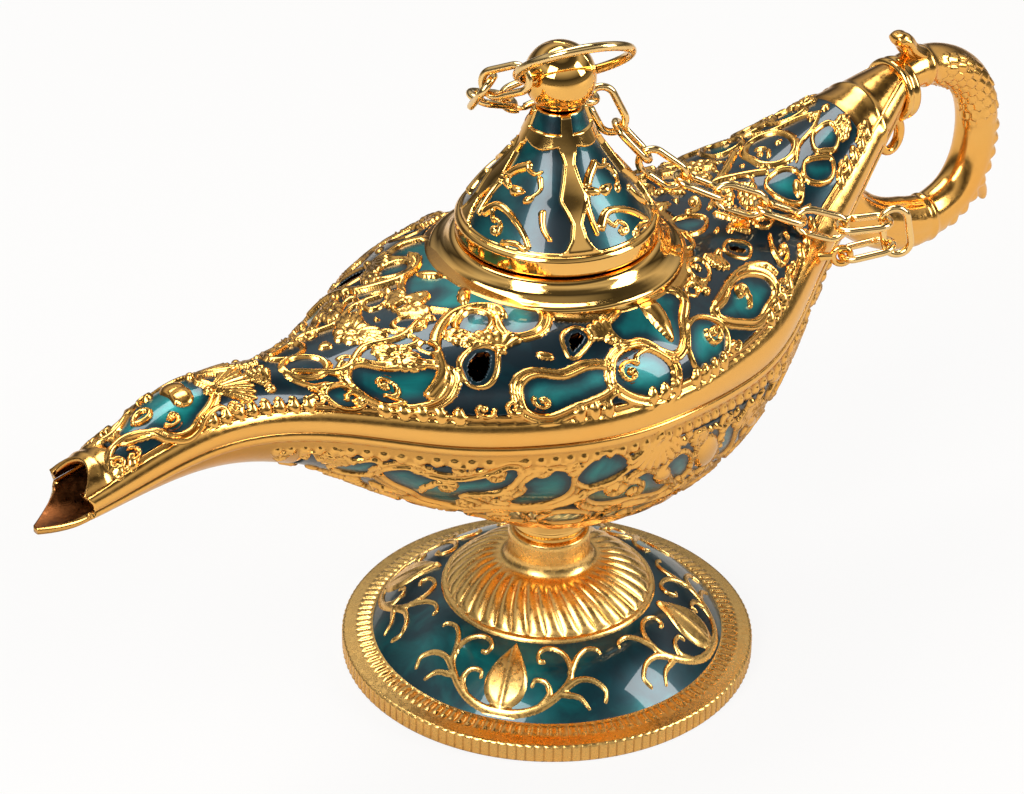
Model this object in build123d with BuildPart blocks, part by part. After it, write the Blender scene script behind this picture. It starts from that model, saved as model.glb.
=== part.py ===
"""A genie oil lamp: a foot, a two-shell body with spout and tail, a handle and a lid kept on a chain.

Millimetres. The origin is the centre of the foot's underside, +Z is up, +X runs to the handle and
the spout points along -X.
"""
import os
from math import cos, radians, sin

from build123d import *

# Driving dimensions of the whole lamp
foot_radius = 38.5
spout_reach = 110.0
tail_reach = 79.9
belly_half_width = 34.5
seam_height = 66.5
belly_rise = 20.6
belly_depth = 34.8
collar_top = 88.2
lid_height = 24.6
ball_radius = 6.4

# Walls, clearances and the overrun of cuts
shell_wall = 1.4
foot_wall = 2.0
lid_wall = 1.6
slip_fit = 0.05
lid_clearance = 0.3
overrun = 1.0

# Foot
rim_height = 3.4
rim_edge_break = 0.4
contact_width = 4.0
band_outer_radius = 32.8
band_inner_radius = 19.9
band_outer_height = 4.5
band_inner_height = 13.3
band_bulge = 1.5
enamel_thickness = 0.9
dome_radius = 19.3
dome_height = 19.5
dome_bulge = 1.3
stem_radius = 7.6
stem_flare = 1.3
stem_flare_height = 1.6
stem_top = 26.1
post_radius = 6.0

# Stub of the body in the foot
stub_radius = 6.8
tenon_radius = 4.5
tenon_length = 8.0
socket_spare_depth = 1.0

# Collar and mouth
mouth_radius = 15.9
collar_radius = 18.4
collar_foot_radius = 22.8
collar_height = 6.0
collar_edge_height = 2.4
collar_waist = 0.9

# Lid
lid_seat_gap = 0.2
lid_radius = 18.1
lid_rim_height = 3.9
lid_rim_break = 0.6
skirt_length = 3.0
lid_enamel_thickness = 0.7
lid_rib_width = 3.0
lid_rib_count = 4
lid_rib_heading = -25.0
enamel_start_share = 0.05
enamel_end_share = 0.77

# Shares of the lid's cone: height from the rim to the neck, and radius
cone_shares = [(0.0, 0.945), (0.20, 0.790), (0.42, 0.590), (0.62, 0.420), (0.80, 0.335), (1.0, 0.243)]

# Finial ball and its ring
ball_sink = 0.8
shank_radius = 2.0
shank_length = 5.0
ring_radius = 10.0
ring_wire = 1.7
ring_hole_clearance = 0.15
ring_heading = -19.0
ring_tilt = 40.0
ring_pick_angle = 33.3

# Chain
link_wire = 1.4
link_half_width = 2.4
link_pitch = 8.0
link_play = 0.1
chain_heading = -33.0
chain_offset = 8.16
chain_eye_reach = 53.2
chain_eye_height = 76.3
chain_link_angles = [13, 100, 185, 163, 159, 160, 155, 142, 131, 116, 166, 204]
eye_radius = 2.3
eye_thickness = 1.2
eye_bar_length = 4.6
eye_bar_height = 3.0

# Links between the lid's ring and the chain's end: heading, rise and roll of each
lid_link_turns = [(115.4, -24.6, -174.3), (69.8, -42.4, 45.9), (2.8, -21.4, -83.1)]
lid_link_seat = 1.8

# Handle, drawn on the plane of symmetry as points of reach and height
handle_outline = [
    (80.5, 96.6), (84.5, 98.0), (89.5, 98.2), (95.5, 96.9), (101.4, 93.9), (106.2, 88.0), (108.8, 79.5),
    (108.8, 70.0), (106.6, 63.2), (101.5, 58.4), (95.0, 55.3), (88.0, 54.9), (80.0, 57.6), (73.5, 61.6),
    (68.5, 66.5), (66.0, 74.0), (69.0, 84.0), (74.5, 92.0),
]
finger_outline = [
    (83.6, 88.6), (87.0, 90.2), (91.8, 89.2), (97.0, 85.4), (99.8, 79.0), (99.4, 72.4), (95.4, 68.4),
    (88.0, 66.2), (81.8, 66.4), (79.0, 71.0), (79.4, 77.5), (81.3, 83.8),
]
thumb_outline = [(80.4, 95.0), (80.4, 98.2), (82.6, 100.2), (85.2, 102.0), (87.0, 99.6), (90.5, 97.0)]
thumb_thickness = 5.0
handle_thickness = 8.4
handle_round = 2.4
spigot_radius = 2.4
spigot_length = 6.0
tail_plug_length = 8.8
tail_ring_radius = 6.3
tail_ring_length = 3.2

# Spout mouth: the lip's height, the place of the arch's top and the pouring beak seen from above
mouth_lip_height = 68.3
mouth_arch_reach = 98.0
mouth_arch_height = 81.6
beak_length = 7.0
beak_half_width = 5.8
beak_tip_half_width = 0.8

# Pierced holes in the upper shell: reach and side as shares of the belly's half width, with their
# own half sizes and heading
pierced_hole_sizes = [(5.0, 2.9, -38.0), (5.2, 2.8, -12.0), (3.2, 1.8, 32.0), (1.9, 1.5, 0.0), (1.5, 1.2, 0.0)]
pierced_hole_shares = [(-0.93, 0.57), (-0.40, 0.70), (0.85, 0.46), (-1.10, 0.19), (1.09, 0.10)]

# Enamel patches of the upper shell: half sizes and headings, then places as shares
upper_patch_sizes = [(9.0, 3.0, 0.0), (10.5, 3.6, -38.0), (7.0, 3.6, -22.0), (8.5, 3.2, 0.0), (6.5, 4.4, 24.0)]
upper_patch_shares = [(-2.36, 0.10), (-1.28, 0.43), (-0.60, 0.83), (-0.10, 0.90), (0.36, 0.86)]
rear_patch_sizes = [(6.4, 4.0, 32.0), (6.0, 3.0, 20.0), (5.5, 2.6, 20.0)]
rear_patch_shares = [(0.74, 0.72), (1.28, 0.36), (1.72, 0.17)]

# Enamel patches of the lower shell: half sizes and headings, then reach and drop below the seam
lower_patch_sizes = [(8.0, 2.0, -14.0), (8.0, 3.4, -24.0), (8.5, 4.0, -8.0), (8.0, 4.0, 8.0), (7.0, 3.6, 30.0)]
lower_patch_shares = [(-1.25, 0.17), (-0.72, 0.30), (-0.12, 0.42), (0.46, 0.36), (0.96, 0.20)]

# Stations of the body. The first value is a share of the spout's reach where it is negative and of
# the tail's reach elsewhere. Then come shares of the belly's half width, seam height, rise and
# depth, and the fullness of the upper section: 2 is an ellipse, and more is squarer.
station_shares = [
    (-1.020, 0.125, 1.056, 0.243, 0.066, 2.0),
    (-0.985, 0.157, 1.071, 0.277, 0.090, 2.0),
    (-0.880, 0.183, 1.102, 0.296, 0.124, 2.0),
    (-0.750, 0.220, 1.149, 0.393, 0.190, 2.0),
    (-0.620, 0.243, 1.134, 0.417, 0.247, 2.0),
    (-0.490, 0.360, 1.081, 0.515, 0.348, 2.1),
    (-0.360, 0.620, 1.032, 0.750, 0.540, 2.2),
    (-0.235, 0.852, 1.015, 0.870, 0.733, 2.4),
    (-0.105, 0.980, 1.003, 0.960, 0.917, 2.5),
    (0.036, 1.000, 1.000, 0.980, 1.000, 2.5),
    (0.210, 0.925, 0.985, 0.970, 0.963, 2.5),
    (0.390, 0.800, 1.004, 0.890, 0.787, 2.2),
    (0.570, 0.590, 1.096, 0.704, 0.532, 2.0),
    (0.750, 0.397, 1.202, 0.553, 0.345, 2.0),
    (0.890, 0.252, 1.299, 0.403, 0.224, 2.0),
    (1.000, 0.145, 1.373, 0.262, 0.135, 2.0),
]
arc_steps = 5

# Sizes that follow from the ones above
lid_base = collar_top + lid_seat_gap
cone_base = lid_base + lid_rim_height
cone_height = lid_height - lid_rim_height
neck_top = lid_base + lid_height
ball_centre = Vector(0, 0, neck_top + ball_radius - ball_sink)
skirt_radius = mouth_radius - lid_clearance
link_radius = link_wire / 2
link_length = link_pitch + link_wire + link_play
link_slot = link_length - 2 * link_half_width
link_seat = link_half_width - link_wire - link_play

os.makedirs("parts", exist_ok=True)


def station_place(share):
    """Distance along X of a station, from its share of the spout's or the tail's reach."""
    if share < 0:
        return share * spout_reach
    return share * tail_reach


def quarter(half_width, height, fullness):
    """Points of a rounded quarter section, from its widest place to its middle."""
    points = []
    for step in range(arc_steps):
        turn = radians(90 * step / arc_steps)
        points.append((half_width * cos(turn) ** (2 / fullness), height * sin(turn) ** (2 / fullness)))
    points.append((0, height))
    return points


def body_form(inset):
    """The body's smooth closed form, with its surface drawn in by inset."""
    with BuildPart() as form:
        for reach, width, seam, rise, depth, fullness in station_shares:
            centre = (station_place(reach), 0, seam * seam_height)
            half_width = width * belly_half_width - inset
            above = quarter(half_width, rise * belly_rise - inset, fullness)
            below = quarter(half_width, inset - depth * belly_depth, 2)
            right = below[::-1] + above[1:]
            left = [(-across, up) for across, up in right]
            with BuildSketch(Plane(origin=centre, x_dir=(0, 1, 0), z_dir=(1, 0, 0))):
                with BuildLine():
                    Spline(*right, tangents=[(1, 0), (-1, 0)])
                    Spline(*left, tangents=[(-1, 0), (1, 0)])
                make_face()
        loft()
    return form.part


def patches(sizes, places, from_above):
    """Pieces of the body's skin inside rounded patches, alike on both sides of the plane of symmetry."""
    with BuildPart() as kept:
        with BuildSketch(Plane.XY.offset(seam_height) if from_above else Plane.XZ):
            for (half_length, half_height, heading), (reach, offset) in zip(sizes, places):
                for side in (-1, 1) if from_above else (1,):
                    rise = side * offset if from_above else 0
                    height = 0 if from_above else seam_height - offset * belly_half_width
                    with Locations((reach * belly_half_width, rise * belly_half_width + height)):
                        Ellipse(half_length, half_height, rotation=side * heading)
        extrude(amount=2 * belly_half_width, both=not from_above)
        add(above_seam.part, mode=Mode.INTERSECT if from_above else Mode.SUBTRACT)
        add(skin.part, mode=Mode.INTERSECT)
    return kept.part


def oval_link(near_end, along, facing):
    """A closed oval link whose near end wire is centred on near_end; its hole looks along facing."""
    along = along.normalized()
    square = (facing - along * facing.dot(along)).normalized()
    middle = near_end + along * (link_length / 2)
    half_slot = link_slot / 2
    with BuildPart() as link:
        with BuildLine(Plane(origin=middle, x_dir=along, z_dir=square)) as path:
            Line((-half_slot, link_half_width), (half_slot, link_half_width))
            CenterArc((half_slot, 0), link_half_width, 90, -180)
            Line((half_slot, -link_half_width), (-half_slot, -link_half_width))
            CenterArc((-half_slot, 0), link_half_width, 270, -180)
        start = middle + along * half_slot + square.cross(along) * link_half_width
        with BuildSketch(Plane(origin=start, z_dir=along)):
            Circle(link_radius)
        sweep(path=path.wire())
    return link.part


def save(piece, name):
    """Labels a finished piece and writes its file."""
    piece.label = name
    export_step(piece, f"parts/{name}.step")


def tangent(angle):
    """Direction in the chain's plane, at an angle above the way out from the lid."""
    out = Vector(cos(radians(chain_heading)), sin(radians(chain_heading)), 0)
    return out * cos(radians(angle)) + Vector(0, 0, 1) * sin(radians(angle))


def in_chain_plane(reach, height):
    """Point of the chain's upright plane, from its reach and its height."""
    return chain_normal * chain_offset + tangent(0) * reach + Vector(0, 0, height)


chain_normal = Vector(-sin(radians(chain_heading)), cos(radians(chain_heading)), 0)

# Forms shared by the shells, their enamel and the handle
whole_form = body_form(0)

with BuildPart() as skin:
    add(whole_form)
    add(body_form(enamel_thickness), mode=Mode.SUBTRACT)

with BuildPart() as cavity:
    add(body_form(shell_wall))
    with BuildSketch(Plane.YZ.offset(tail_reach - tail_plug_length)):
        Circle(2 * belly_half_width)
    extrude(amount=tail_plug_length + overrun, mode=Mode.SUBTRACT)

with BuildPart() as above_seam:
    with BuildSketch(Plane.XZ):
        with BuildLine():
            seam_line = [(station_place(row[0]), row[2] * seam_height) for row in station_shares]
            Spline(*seam_line)
            top = seam_height + 2 * belly_half_width
            low_start = (seam_line[0][0] - overrun, seam_line[0][1])
            low_end = (seam_line[-1][0] + overrun, seam_line[-1][1])
            Polyline(seam_line[0], low_start, (low_start[0], top), (low_end[0], top), low_end, seam_line[-1])
        make_face()
    extrude(amount=2 * belly_half_width, both=True)

with BuildPart() as mouth_cut:
    with BuildSketch():
        with BuildLine():
            beak_tip = Vector(-spout_reach, beak_tip_half_width)
            flank = Vector(beak_length, beak_half_width - beak_tip_half_width)
            flank_start = beak_tip - flank
            flank_end = beak_tip + flank * 2
            Polyline(flank_start, flank_end, (flank_start.X, flank_end.Y), close=True)
        make_face()
    extrude(amount=collar_top)
    mirror(about=Plane.XZ)
    with BuildSketch(Plane.XZ):
        with BuildLine():
            lip = Vector(-spout_reach, mouth_lip_height)
            slant = Vector(-mouth_arch_reach, mouth_arch_height) - lip
            cut_start = lip - slant / 2
            cut_end = lip + slant * 2
            Polyline(cut_start, cut_end, (cut_start.X, cut_end.Y), close=True)
        make_face()
    extrude(amount=belly_half_width, both=True)

with BuildPart() as spigot:
    with BuildSketch(Plane.YZ.offset(tail_reach - spigot_length)):
        with Locations((0, station_shares[-1][2] * seam_height)):
            Circle(spigot_radius)
    extrude(amount=spigot_length + overrun)

with BuildPart() as spigot_hole:
    with BuildSketch(Plane.YZ.offset(tail_reach - spigot_length - slip_fit)):
        with Locations((0, station_shares[-1][2] * seam_height)):
            Circle(spigot_radius + slip_fit)
    extrude(amount=spigot_length + overrun)

# Foot and its enamel band
with BuildPart() as foot_enamel:
    with BuildSketch(Plane.XZ):
        with BuildLine():
            outer = (band_outer_radius, band_outer_height)
            inner = (band_inner_radius, band_inner_height)
            middle = ((outer[0] + inner[0]) / 2, (outer[1] + inner[1]) / 2 + band_bulge)
            inner_low = (inner[0], inner[1] - enamel_thickness)
            outer_low = (outer[0], outer[1] - enamel_thickness)
            middle_low = (middle[0], middle[1] - enamel_thickness)
            ThreePointArc(outer, middle, inner)
            Line(inner, inner_low)
            ThreePointArc(inner_low, middle_low, outer_low)
            Line(outer_low, outer)
        make_face()
    revolve(axis=Axis.Z)

with BuildPart() as foot:
    with BuildSketch(Plane.XZ):
        with BuildLine():
            socket_radius = tenon_radius + slip_fit
            socket_floor = stem_top - tenon_length - socket_spare_depth
            dome_edge = (dome_radius, band_inner_height + rim_edge_break)
            dome_crown = (stem_radius + stem_flare, dome_height)
            dome_middle = ((dome_edge[0] + dome_crown[0]) / 2, (dome_edge[1] + dome_crown[1]) / 2 + dome_bulge)
            contact_radius = foot_radius - contact_width
            under_band = (contact_radius, rim_height - foot_wall)
            under_dome = (dome_radius, band_inner_height - enamel_thickness - foot_wall)
            under_post = (post_radius, dome_height - 2 * foot_wall)
            Polyline(
                (0, 0), (post_radius, 0), under_post, under_dome, under_band, (contact_radius, 0),
                (foot_radius, 0), (foot_radius, rim_height),
                (foot_radius - rim_edge_break, rim_height + rim_edge_break),
                (band_outer_radius, band_outer_height),
            )
            ThreePointArc(outer, middle, inner)
            Line(inner, dome_edge)
            ThreePointArc(dome_edge, dome_middle, dome_crown)
            Polyline(
                dome_crown, (stem_radius, dome_height + stem_flare_height), (stem_radius, stem_top),
                (socket_radius, stem_top), (socket_radius, socket_floor), (0, socket_floor), (0, 0),
            )
        make_face()
    revolve(axis=Axis.Z)
    add(foot_enamel.part, mode=Mode.SUBTRACT)

save(foot.part, "foot")
save(foot_enamel.part, "foot_enamel")

# Lower shell: half the body, with the stub and tenon that stand in the foot
lower_enamel = patches(lower_patch_sizes, lower_patch_shares, False)

with BuildPart() as lower_shell:
    add(whole_form)
    with BuildSketch(Plane.XY.offset(stem_top)):
        Circle(stub_radius)
    extrude(amount=tenon_length)
    with BuildSketch(Plane.XY.offset(stem_top - tenon_length)):
        Circle(tenon_radius)
    extrude(amount=tenon_length)
    add(cavity.part, mode=Mode.SUBTRACT)
    add([above_seam.part, mouth_cut.part, spigot_hole.part], mode=Mode.SUBTRACT)
    add(lower_enamel, mode=Mode.SUBTRACT)

save(lower_shell.part, "lower_shell")
save(lower_enamel, "lower_enamel")

# Upper shell: half the body, pierced, with the collar that takes the lid and the chain's eye
patch_sizes = upper_patch_sizes + rear_patch_sizes
upper_enamel = patches(patch_sizes, upper_patch_shares + rear_patch_shares, True)

with BuildPart() as openings:
    with BuildSketch(Plane.XY.offset(seam_height)):
        Circle(mouth_radius)
        for (half_length, half_height, heading), (reach, offset) in zip(pierced_hole_sizes, pierced_hole_shares):
            for side in (-1, 1):
                with Locations((reach * belly_half_width, side * offset * belly_half_width)):
                    Ellipse(half_length, half_height, rotation=side * heading)
    extrude(amount=belly_half_width)

with BuildPart() as upper_shell:
    add(whole_form)
    with BuildSketch(Plane.XZ):
        with BuildLine():
            collar_foot = collar_top - collar_height
            collar_edge = (collar_foot_radius, collar_foot + collar_edge_height)
            waist = (collar_radius + collar_waist, (collar_edge[1] + collar_top) / 2)
            Polyline(collar_edge, (collar_foot_radius, collar_foot), (0, collar_foot))
            Polyline((0, collar_foot), (0, collar_top), (collar_radius, collar_top))
            ThreePointArc((collar_radius, collar_top), waist, collar_edge)
        make_face()
    revolve(axis=Axis.Z)
    eye_centre = in_chain_plane(chain_eye_reach, chain_eye_height)
    eye_face = eye_centre - chain_normal * (eye_thickness / 2)
    with BuildSketch(Plane(origin=eye_face, x_dir=tangent(0), z_dir=chain_normal)):
        Circle(eye_radius)
        with Locations((-eye_bar_length / 2, 0)):
            Rectangle(eye_bar_length, eye_bar_height)
        Circle(link_radius + ring_hole_clearance, mode=Mode.SUBTRACT)
    extrude(amount=eye_thickness)
    add(cavity.part, mode=Mode.SUBTRACT)
    add(above_seam.part, mode=Mode.INTERSECT)
    add([openings.part, mouth_cut.part, spigot_hole.part], mode=Mode.SUBTRACT)
    add(upper_enamel, mode=Mode.SUBTRACT)

save(upper_shell.part, "upper_shell")
save(upper_enamel, "upper_enamel")

# Handle: an upright ring with a thumb-piece, plugged into the tail
with BuildPart() as handle:
    with BuildSketch(Plane.XZ.offset(-handle_thickness / 2)):
        with BuildLine():
            Spline(*handle_outline, periodic=True)
        make_face()
        with BuildLine():
            Spline(*finger_outline, periodic=True)
        make_face(mode=Mode.SUBTRACT)
    extrude(amount=handle_thickness)
    fillet(handle.faces().filter_by(Axis.Y).edges(), radius=handle_round)
    with BuildSketch(Plane.XZ.offset(-thumb_thickness / 2)):
        with BuildLine():
            Spline(*thumb_outline)
            Line(thumb_outline[-1], thumb_outline[0])
        make_face()
    extrude(amount=thumb_thickness)
    with BuildSketch(Plane.YZ.offset(tail_reach)):
        with Locations((0, station_shares[-1][2] * seam_height)):
            Circle(tail_ring_radius)
    extrude(amount=tail_ring_length)
    add(whole_form, mode=Mode.SUBTRACT)
    add(spigot.part)

save(handle.part, "handle")


def cone_region(inset):
    """Half section of the lid's cone, drawn in by inset."""
    line = [(radius * lid_radius - inset, cone_base + height * cone_height) for height, radius in cone_shares]
    with BuildSketch() as region:
        with BuildLine():
            Spline(*line)
            Polyline(line[-1], (0, line[-1][1]), (0, line[0][1]), line[0])
        make_face()
    return region.sketch


# Lid with its enamel panels
with BuildPart() as lid_enamel:
    with BuildSketch(Plane.XZ):
        add(cone_region(0))
        add(cone_region(lid_enamel_thickness), mode=Mode.SUBTRACT)
        panel_height = (enamel_end_share - enamel_start_share) * cone_height
        panel_middle = cone_base + (enamel_end_share + enamel_start_share) / 2 * cone_height
        with Locations((lid_radius / 2, panel_middle)):
            Rectangle(lid_radius, panel_height, mode=Mode.INTERSECT)
    revolve(axis=Axis.Z)
    with BuildSketch(Plane.XY.offset(cone_base)):
        for turn in range(lid_rib_count // 2):
            rib_heading = lid_rib_heading + 360 * turn / lid_rib_count
            Rectangle(2 * lid_radius, lid_rib_width, rotation=rib_heading)
    extrude(amount=lid_height, mode=Mode.SUBTRACT)

with BuildPart() as lid:
    with BuildSketch(Plane.XZ):
        add(cone_region(0))
        with BuildLine():
            skirt_bottom = lid_base - skirt_length
            rim_low = lid_base + lid_rim_break
            rim_high = cone_base - lid_rim_break
            Polyline(
                (0, cone_base), (0, skirt_bottom), (skirt_radius, skirt_bottom), (skirt_radius, lid_base),
                (lid_radius - lid_rim_break, lid_base), (lid_radius, rim_low), (lid_radius, rim_high),
                (lid_radius - lid_rim_break, cone_base), (0, cone_base),
            )
        make_face()
        with BuildLine():
            inner_radius = skirt_radius - lid_wall
            Polyline(
                (0, neck_top - shank_length), (shank_radius, neck_top - shank_length),
                (inner_radius, cone_base), (inner_radius, skirt_bottom), (0, skirt_bottom), close=True,
            )
        make_face(mode=Mode.SUBTRACT)
    revolve(axis=Axis.Z)
    with BuildSketch(Plane.XY.offset(neck_top - shank_length)):
        Circle(shank_radius + slip_fit)
    extrude(amount=shank_length, mode=Mode.SUBTRACT)
    with Locations(ball_centre):
        Sphere(ball_radius + slip_fit, mode=Mode.SUBTRACT)
    add(lid_enamel.part, mode=Mode.SUBTRACT)

save(lid.part, "lid")
save(lid_enamel.part, "lid_enamel")

# Finial ball, bored for the ring, and the ring through it
ring_way = Vector(cos(radians(ring_heading)), sin(radians(ring_heading)), 0)
ring_forward = Vector(sin(radians(ring_heading)), -cos(radians(ring_heading)), 0)
ring_out = ring_forward * cos(radians(ring_tilt)) + Vector(0, 0, 1) * sin(radians(ring_tilt))
ring_sagitta = ring_radius - (ring_radius**2 - ball_radius**2) ** 0.5
ring_centre = ball_centre + ring_out * (ring_radius - ring_sagitta / 2)
ring_hole_radius = (ring_sagitta + ring_wire) / 2 + ring_hole_clearance

with BuildPart() as finial_ball:
    with Locations(ball_centre):
        Sphere(ball_radius)
    with BuildSketch(Plane.XY.offset(neck_top - shank_length + slip_fit)):
        Circle(shank_radius)
    extrude(amount=shank_length)
    with BuildSketch(Plane(origin=ball_centre - ring_way * (ball_radius + overrun), z_dir=ring_way)):
        Circle(ring_hole_radius)
    extrude(amount=2 * (ball_radius + overrun), mode=Mode.SUBTRACT)

save(finial_ball.part, "finial_ball")

with BuildPart() as lid_ring:
    with Locations(Plane(origin=ring_centre, z_dir=ring_way.cross(ring_out))):
        Torus(ring_radius, ring_wire / 2)

save(lid_ring.part, "lid_ring")

# Chain over the body: flat and upright links in turn, from the eye up to the lid's own links
joint = eye_centre
for number, angle in enumerate(chain_link_angles):
    along = tangent(angle)
    upright = number % 2 == 1
    if upright:
        near_end = joint - along * link_half_width
        facing = chain_normal
        next_joint = joint + along * link_slot
    elif number == 0:
        near_end = joint
        facing = chain_normal.cross(along)
        next_joint = joint + along * (link_length + link_seat)
    else:
        near_end = joint + along * link_seat
        facing = chain_normal.cross(along)
        next_joint = joint + along * (link_length + 2 * link_seat)
    save(oval_link(near_end, along, facing), f"chain_link_{number + 1:02d}")
    joint = next_joint


def turned_axes(heading, rise, roll):
    """Direction of a link and of its hole, from its heading, rise and roll."""
    level = Vector(cos(radians(heading)), sin(radians(heading)), 0)
    along = level * cos(radians(rise)) + Vector(0, 0, 1) * sin(radians(rise))
    across = Vector(0, 0, 1).cross(along).normalized()
    return along, across * cos(radians(roll)) + along.cross(across) * sin(radians(roll))


# Links that hang from the ring and hold the chain's end
pick_way = ring_way * -cos(radians(ring_pick_angle)) - ring_out * sin(radians(ring_pick_angle))
hold_point = ring_centre + pick_way * ring_radius
before = turned_axes(*lid_link_turns[0])[0]
for number, turn in enumerate(lid_link_turns):
    along, facing = turned_axes(*turn)
    near_end = hold_point - (before + along).normalized() * lid_link_seat
    save(oval_link(near_end, along, facing), f"lid_link_{number + 1:02d}")
    hold_point = near_end + along * link_length
    before = along
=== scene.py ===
import math
import random

import bpy
import numpy as np
from mathutils import Matrix, Vector


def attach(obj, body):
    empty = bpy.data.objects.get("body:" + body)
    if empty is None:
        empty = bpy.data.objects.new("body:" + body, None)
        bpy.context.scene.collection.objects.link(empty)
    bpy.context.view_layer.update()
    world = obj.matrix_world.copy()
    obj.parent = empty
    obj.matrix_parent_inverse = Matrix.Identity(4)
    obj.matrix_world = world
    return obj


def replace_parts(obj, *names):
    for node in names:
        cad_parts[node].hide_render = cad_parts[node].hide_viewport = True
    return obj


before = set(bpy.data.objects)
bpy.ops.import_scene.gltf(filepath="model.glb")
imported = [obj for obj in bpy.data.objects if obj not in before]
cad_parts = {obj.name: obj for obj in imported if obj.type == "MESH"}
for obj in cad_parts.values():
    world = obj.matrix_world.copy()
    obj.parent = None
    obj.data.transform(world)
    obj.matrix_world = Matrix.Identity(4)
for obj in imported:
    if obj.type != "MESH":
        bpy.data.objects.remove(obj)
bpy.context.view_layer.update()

MM = 0.001
rng = random.Random(7)

# Camera


def place_camera():
    """Camera fitted to the photograph: its direction, lens and small turns away from the lamp's foot."""
    heading, height, reach = math.radians(40.0), math.radians(34.63), 0.7544
    yaw, pitch, roll = math.radians(-0.58), math.radians(3.48), math.radians(1.01)
    spot = Vector((0, -math.cos(height), math.sin(height))) * reach
    ahead = -spot.normalized()
    right = Vector((1, 0, 0))
    up = right.cross(ahead)
    level = ahead * math.cos(yaw) + right * math.sin(yaw)
    ahead = level * math.cos(pitch) + up * math.sin(pitch)
    right = ahead.cross(Vector((0, 0, 1))).normalized()
    up = right.cross(ahead)
    right, up = right * math.cos(roll) + up * math.sin(roll), up * math.cos(roll) - right * math.sin(roll)
    turn = Matrix.Rotation(-heading, 4, "Z")
    pose = Matrix((
        (right.x, up.x, -ahead.x, spot.x), (right.y, up.y, -ahead.y, spot.y),
        (right.z, up.z, -ahead.z, spot.z), (0, 0, 0, 1),
    ))
    data = bpy.data.cameras.new("photo_camera")
    data.lens, data.sensor_width = 140.6, 36.0
    camera = bpy.data.objects.new("photo_camera", data)
    bpy.context.scene.collection.objects.link(camera)
    camera.matrix_world = turn @ pose
    bpy.context.scene.camera = camera


# Materials


def add_node(tree, kind, **sockets):
    node = tree.nodes.new(kind)
    for name, value in sockets.items():
        node.inputs[name.replace("_", " ")].default_value = value
    return node


def join(tree, source, output, target, entry):
    """Links one node's output to an input of another."""
    tree.links.new(source.outputs[output], target.inputs[entry])


def gold(name, bright, deep, rough, wear=0.0, grain=0.0):
    """Plated metal: painted highlight on the raised relief, and painted shade, darker and redder, in the
    hollows, set per vertex.
    """
    material = bpy.data.materials.new(name)
    material.use_nodes = True
    tree = material.node_tree
    shader = tree.nodes["Principled BSDF"]
    shader.inputs["Metallic"].default_value = 1.0
    # Per-vertex painted light level: low gives the deep colour as painted shade, high gives the bright
    # colour as painted highlight
    depth = tree.nodes.new("ShaderNodeAttribute")
    depth.attribute_name = "painted_light"
    ramp = tree.nodes.new("ShaderNodeValToRGB")
    ramp.color_ramp.elements[0].position, ramp.color_ramp.elements[0].color = 0.15, (*deep, 1)
    ramp.color_ramp.elements[1].position, ramp.color_ramp.elements[1].color = 0.62, (*bright, 1)
    place = tree.nodes.new("ShaderNodeTexCoord")
    cloud = add_node(tree, "ShaderNodeTexNoise", Scale=55.0, Detail=4.0, Roughness=0.6)
    join(tree, place, "Object", cloud, "Vector")
    tint = tree.nodes.new("ShaderNodeMix")
    tint.data_type = "RGBA"
    tint.inputs[7].default_value = (bright[0] * 1.04, bright[1] * 0.86, bright[2] * 0.6, 1)
    spread = add_node(tree, "ShaderNodeMapRange", From_Min=0.45, From_Max=0.75, To_Min=0.0, To_Max=0.45)
    join(tree, depth, "Fac", ramp, "Fac")
    join(tree, ramp, "Color", tint, 6)
    join(tree, cloud, "Fac", spread, "Value")
    join(tree, spread, "Result", tint, 0)
    join(tree, tint, 2, shader, "Base Color")
    fine = add_node(tree, "ShaderNodeTexNoise", Scale=900.0, Detail=3.0, Roughness=0.6)
    join(tree, place, "Object", fine, "Vector")
    level = add_node(
        tree, "ShaderNodeMapRange", From_Min=0.3, From_Max=0.8, To_Min=rough * 0.75,
        To_Max=rough * 1.5 + wear,
    )
    join(tree, fine, "Fac", level, "Value")
    join(tree, level, "Result", shader, "Roughness")
    bump = add_node(tree, "ShaderNodeBump", Strength=0.10 + grain, Distance=0.0002)
    swell = add_node(tree, "ShaderNodeTexNoise", Scale=260.0, Detail=3.0, Roughness=0.5)
    join(tree, place, "Object", swell, "Vector")
    join(tree, swell, "Fac", bump, "Height")
    join(tree, bump, "Normal", shader, "Normal")
    return material


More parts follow.
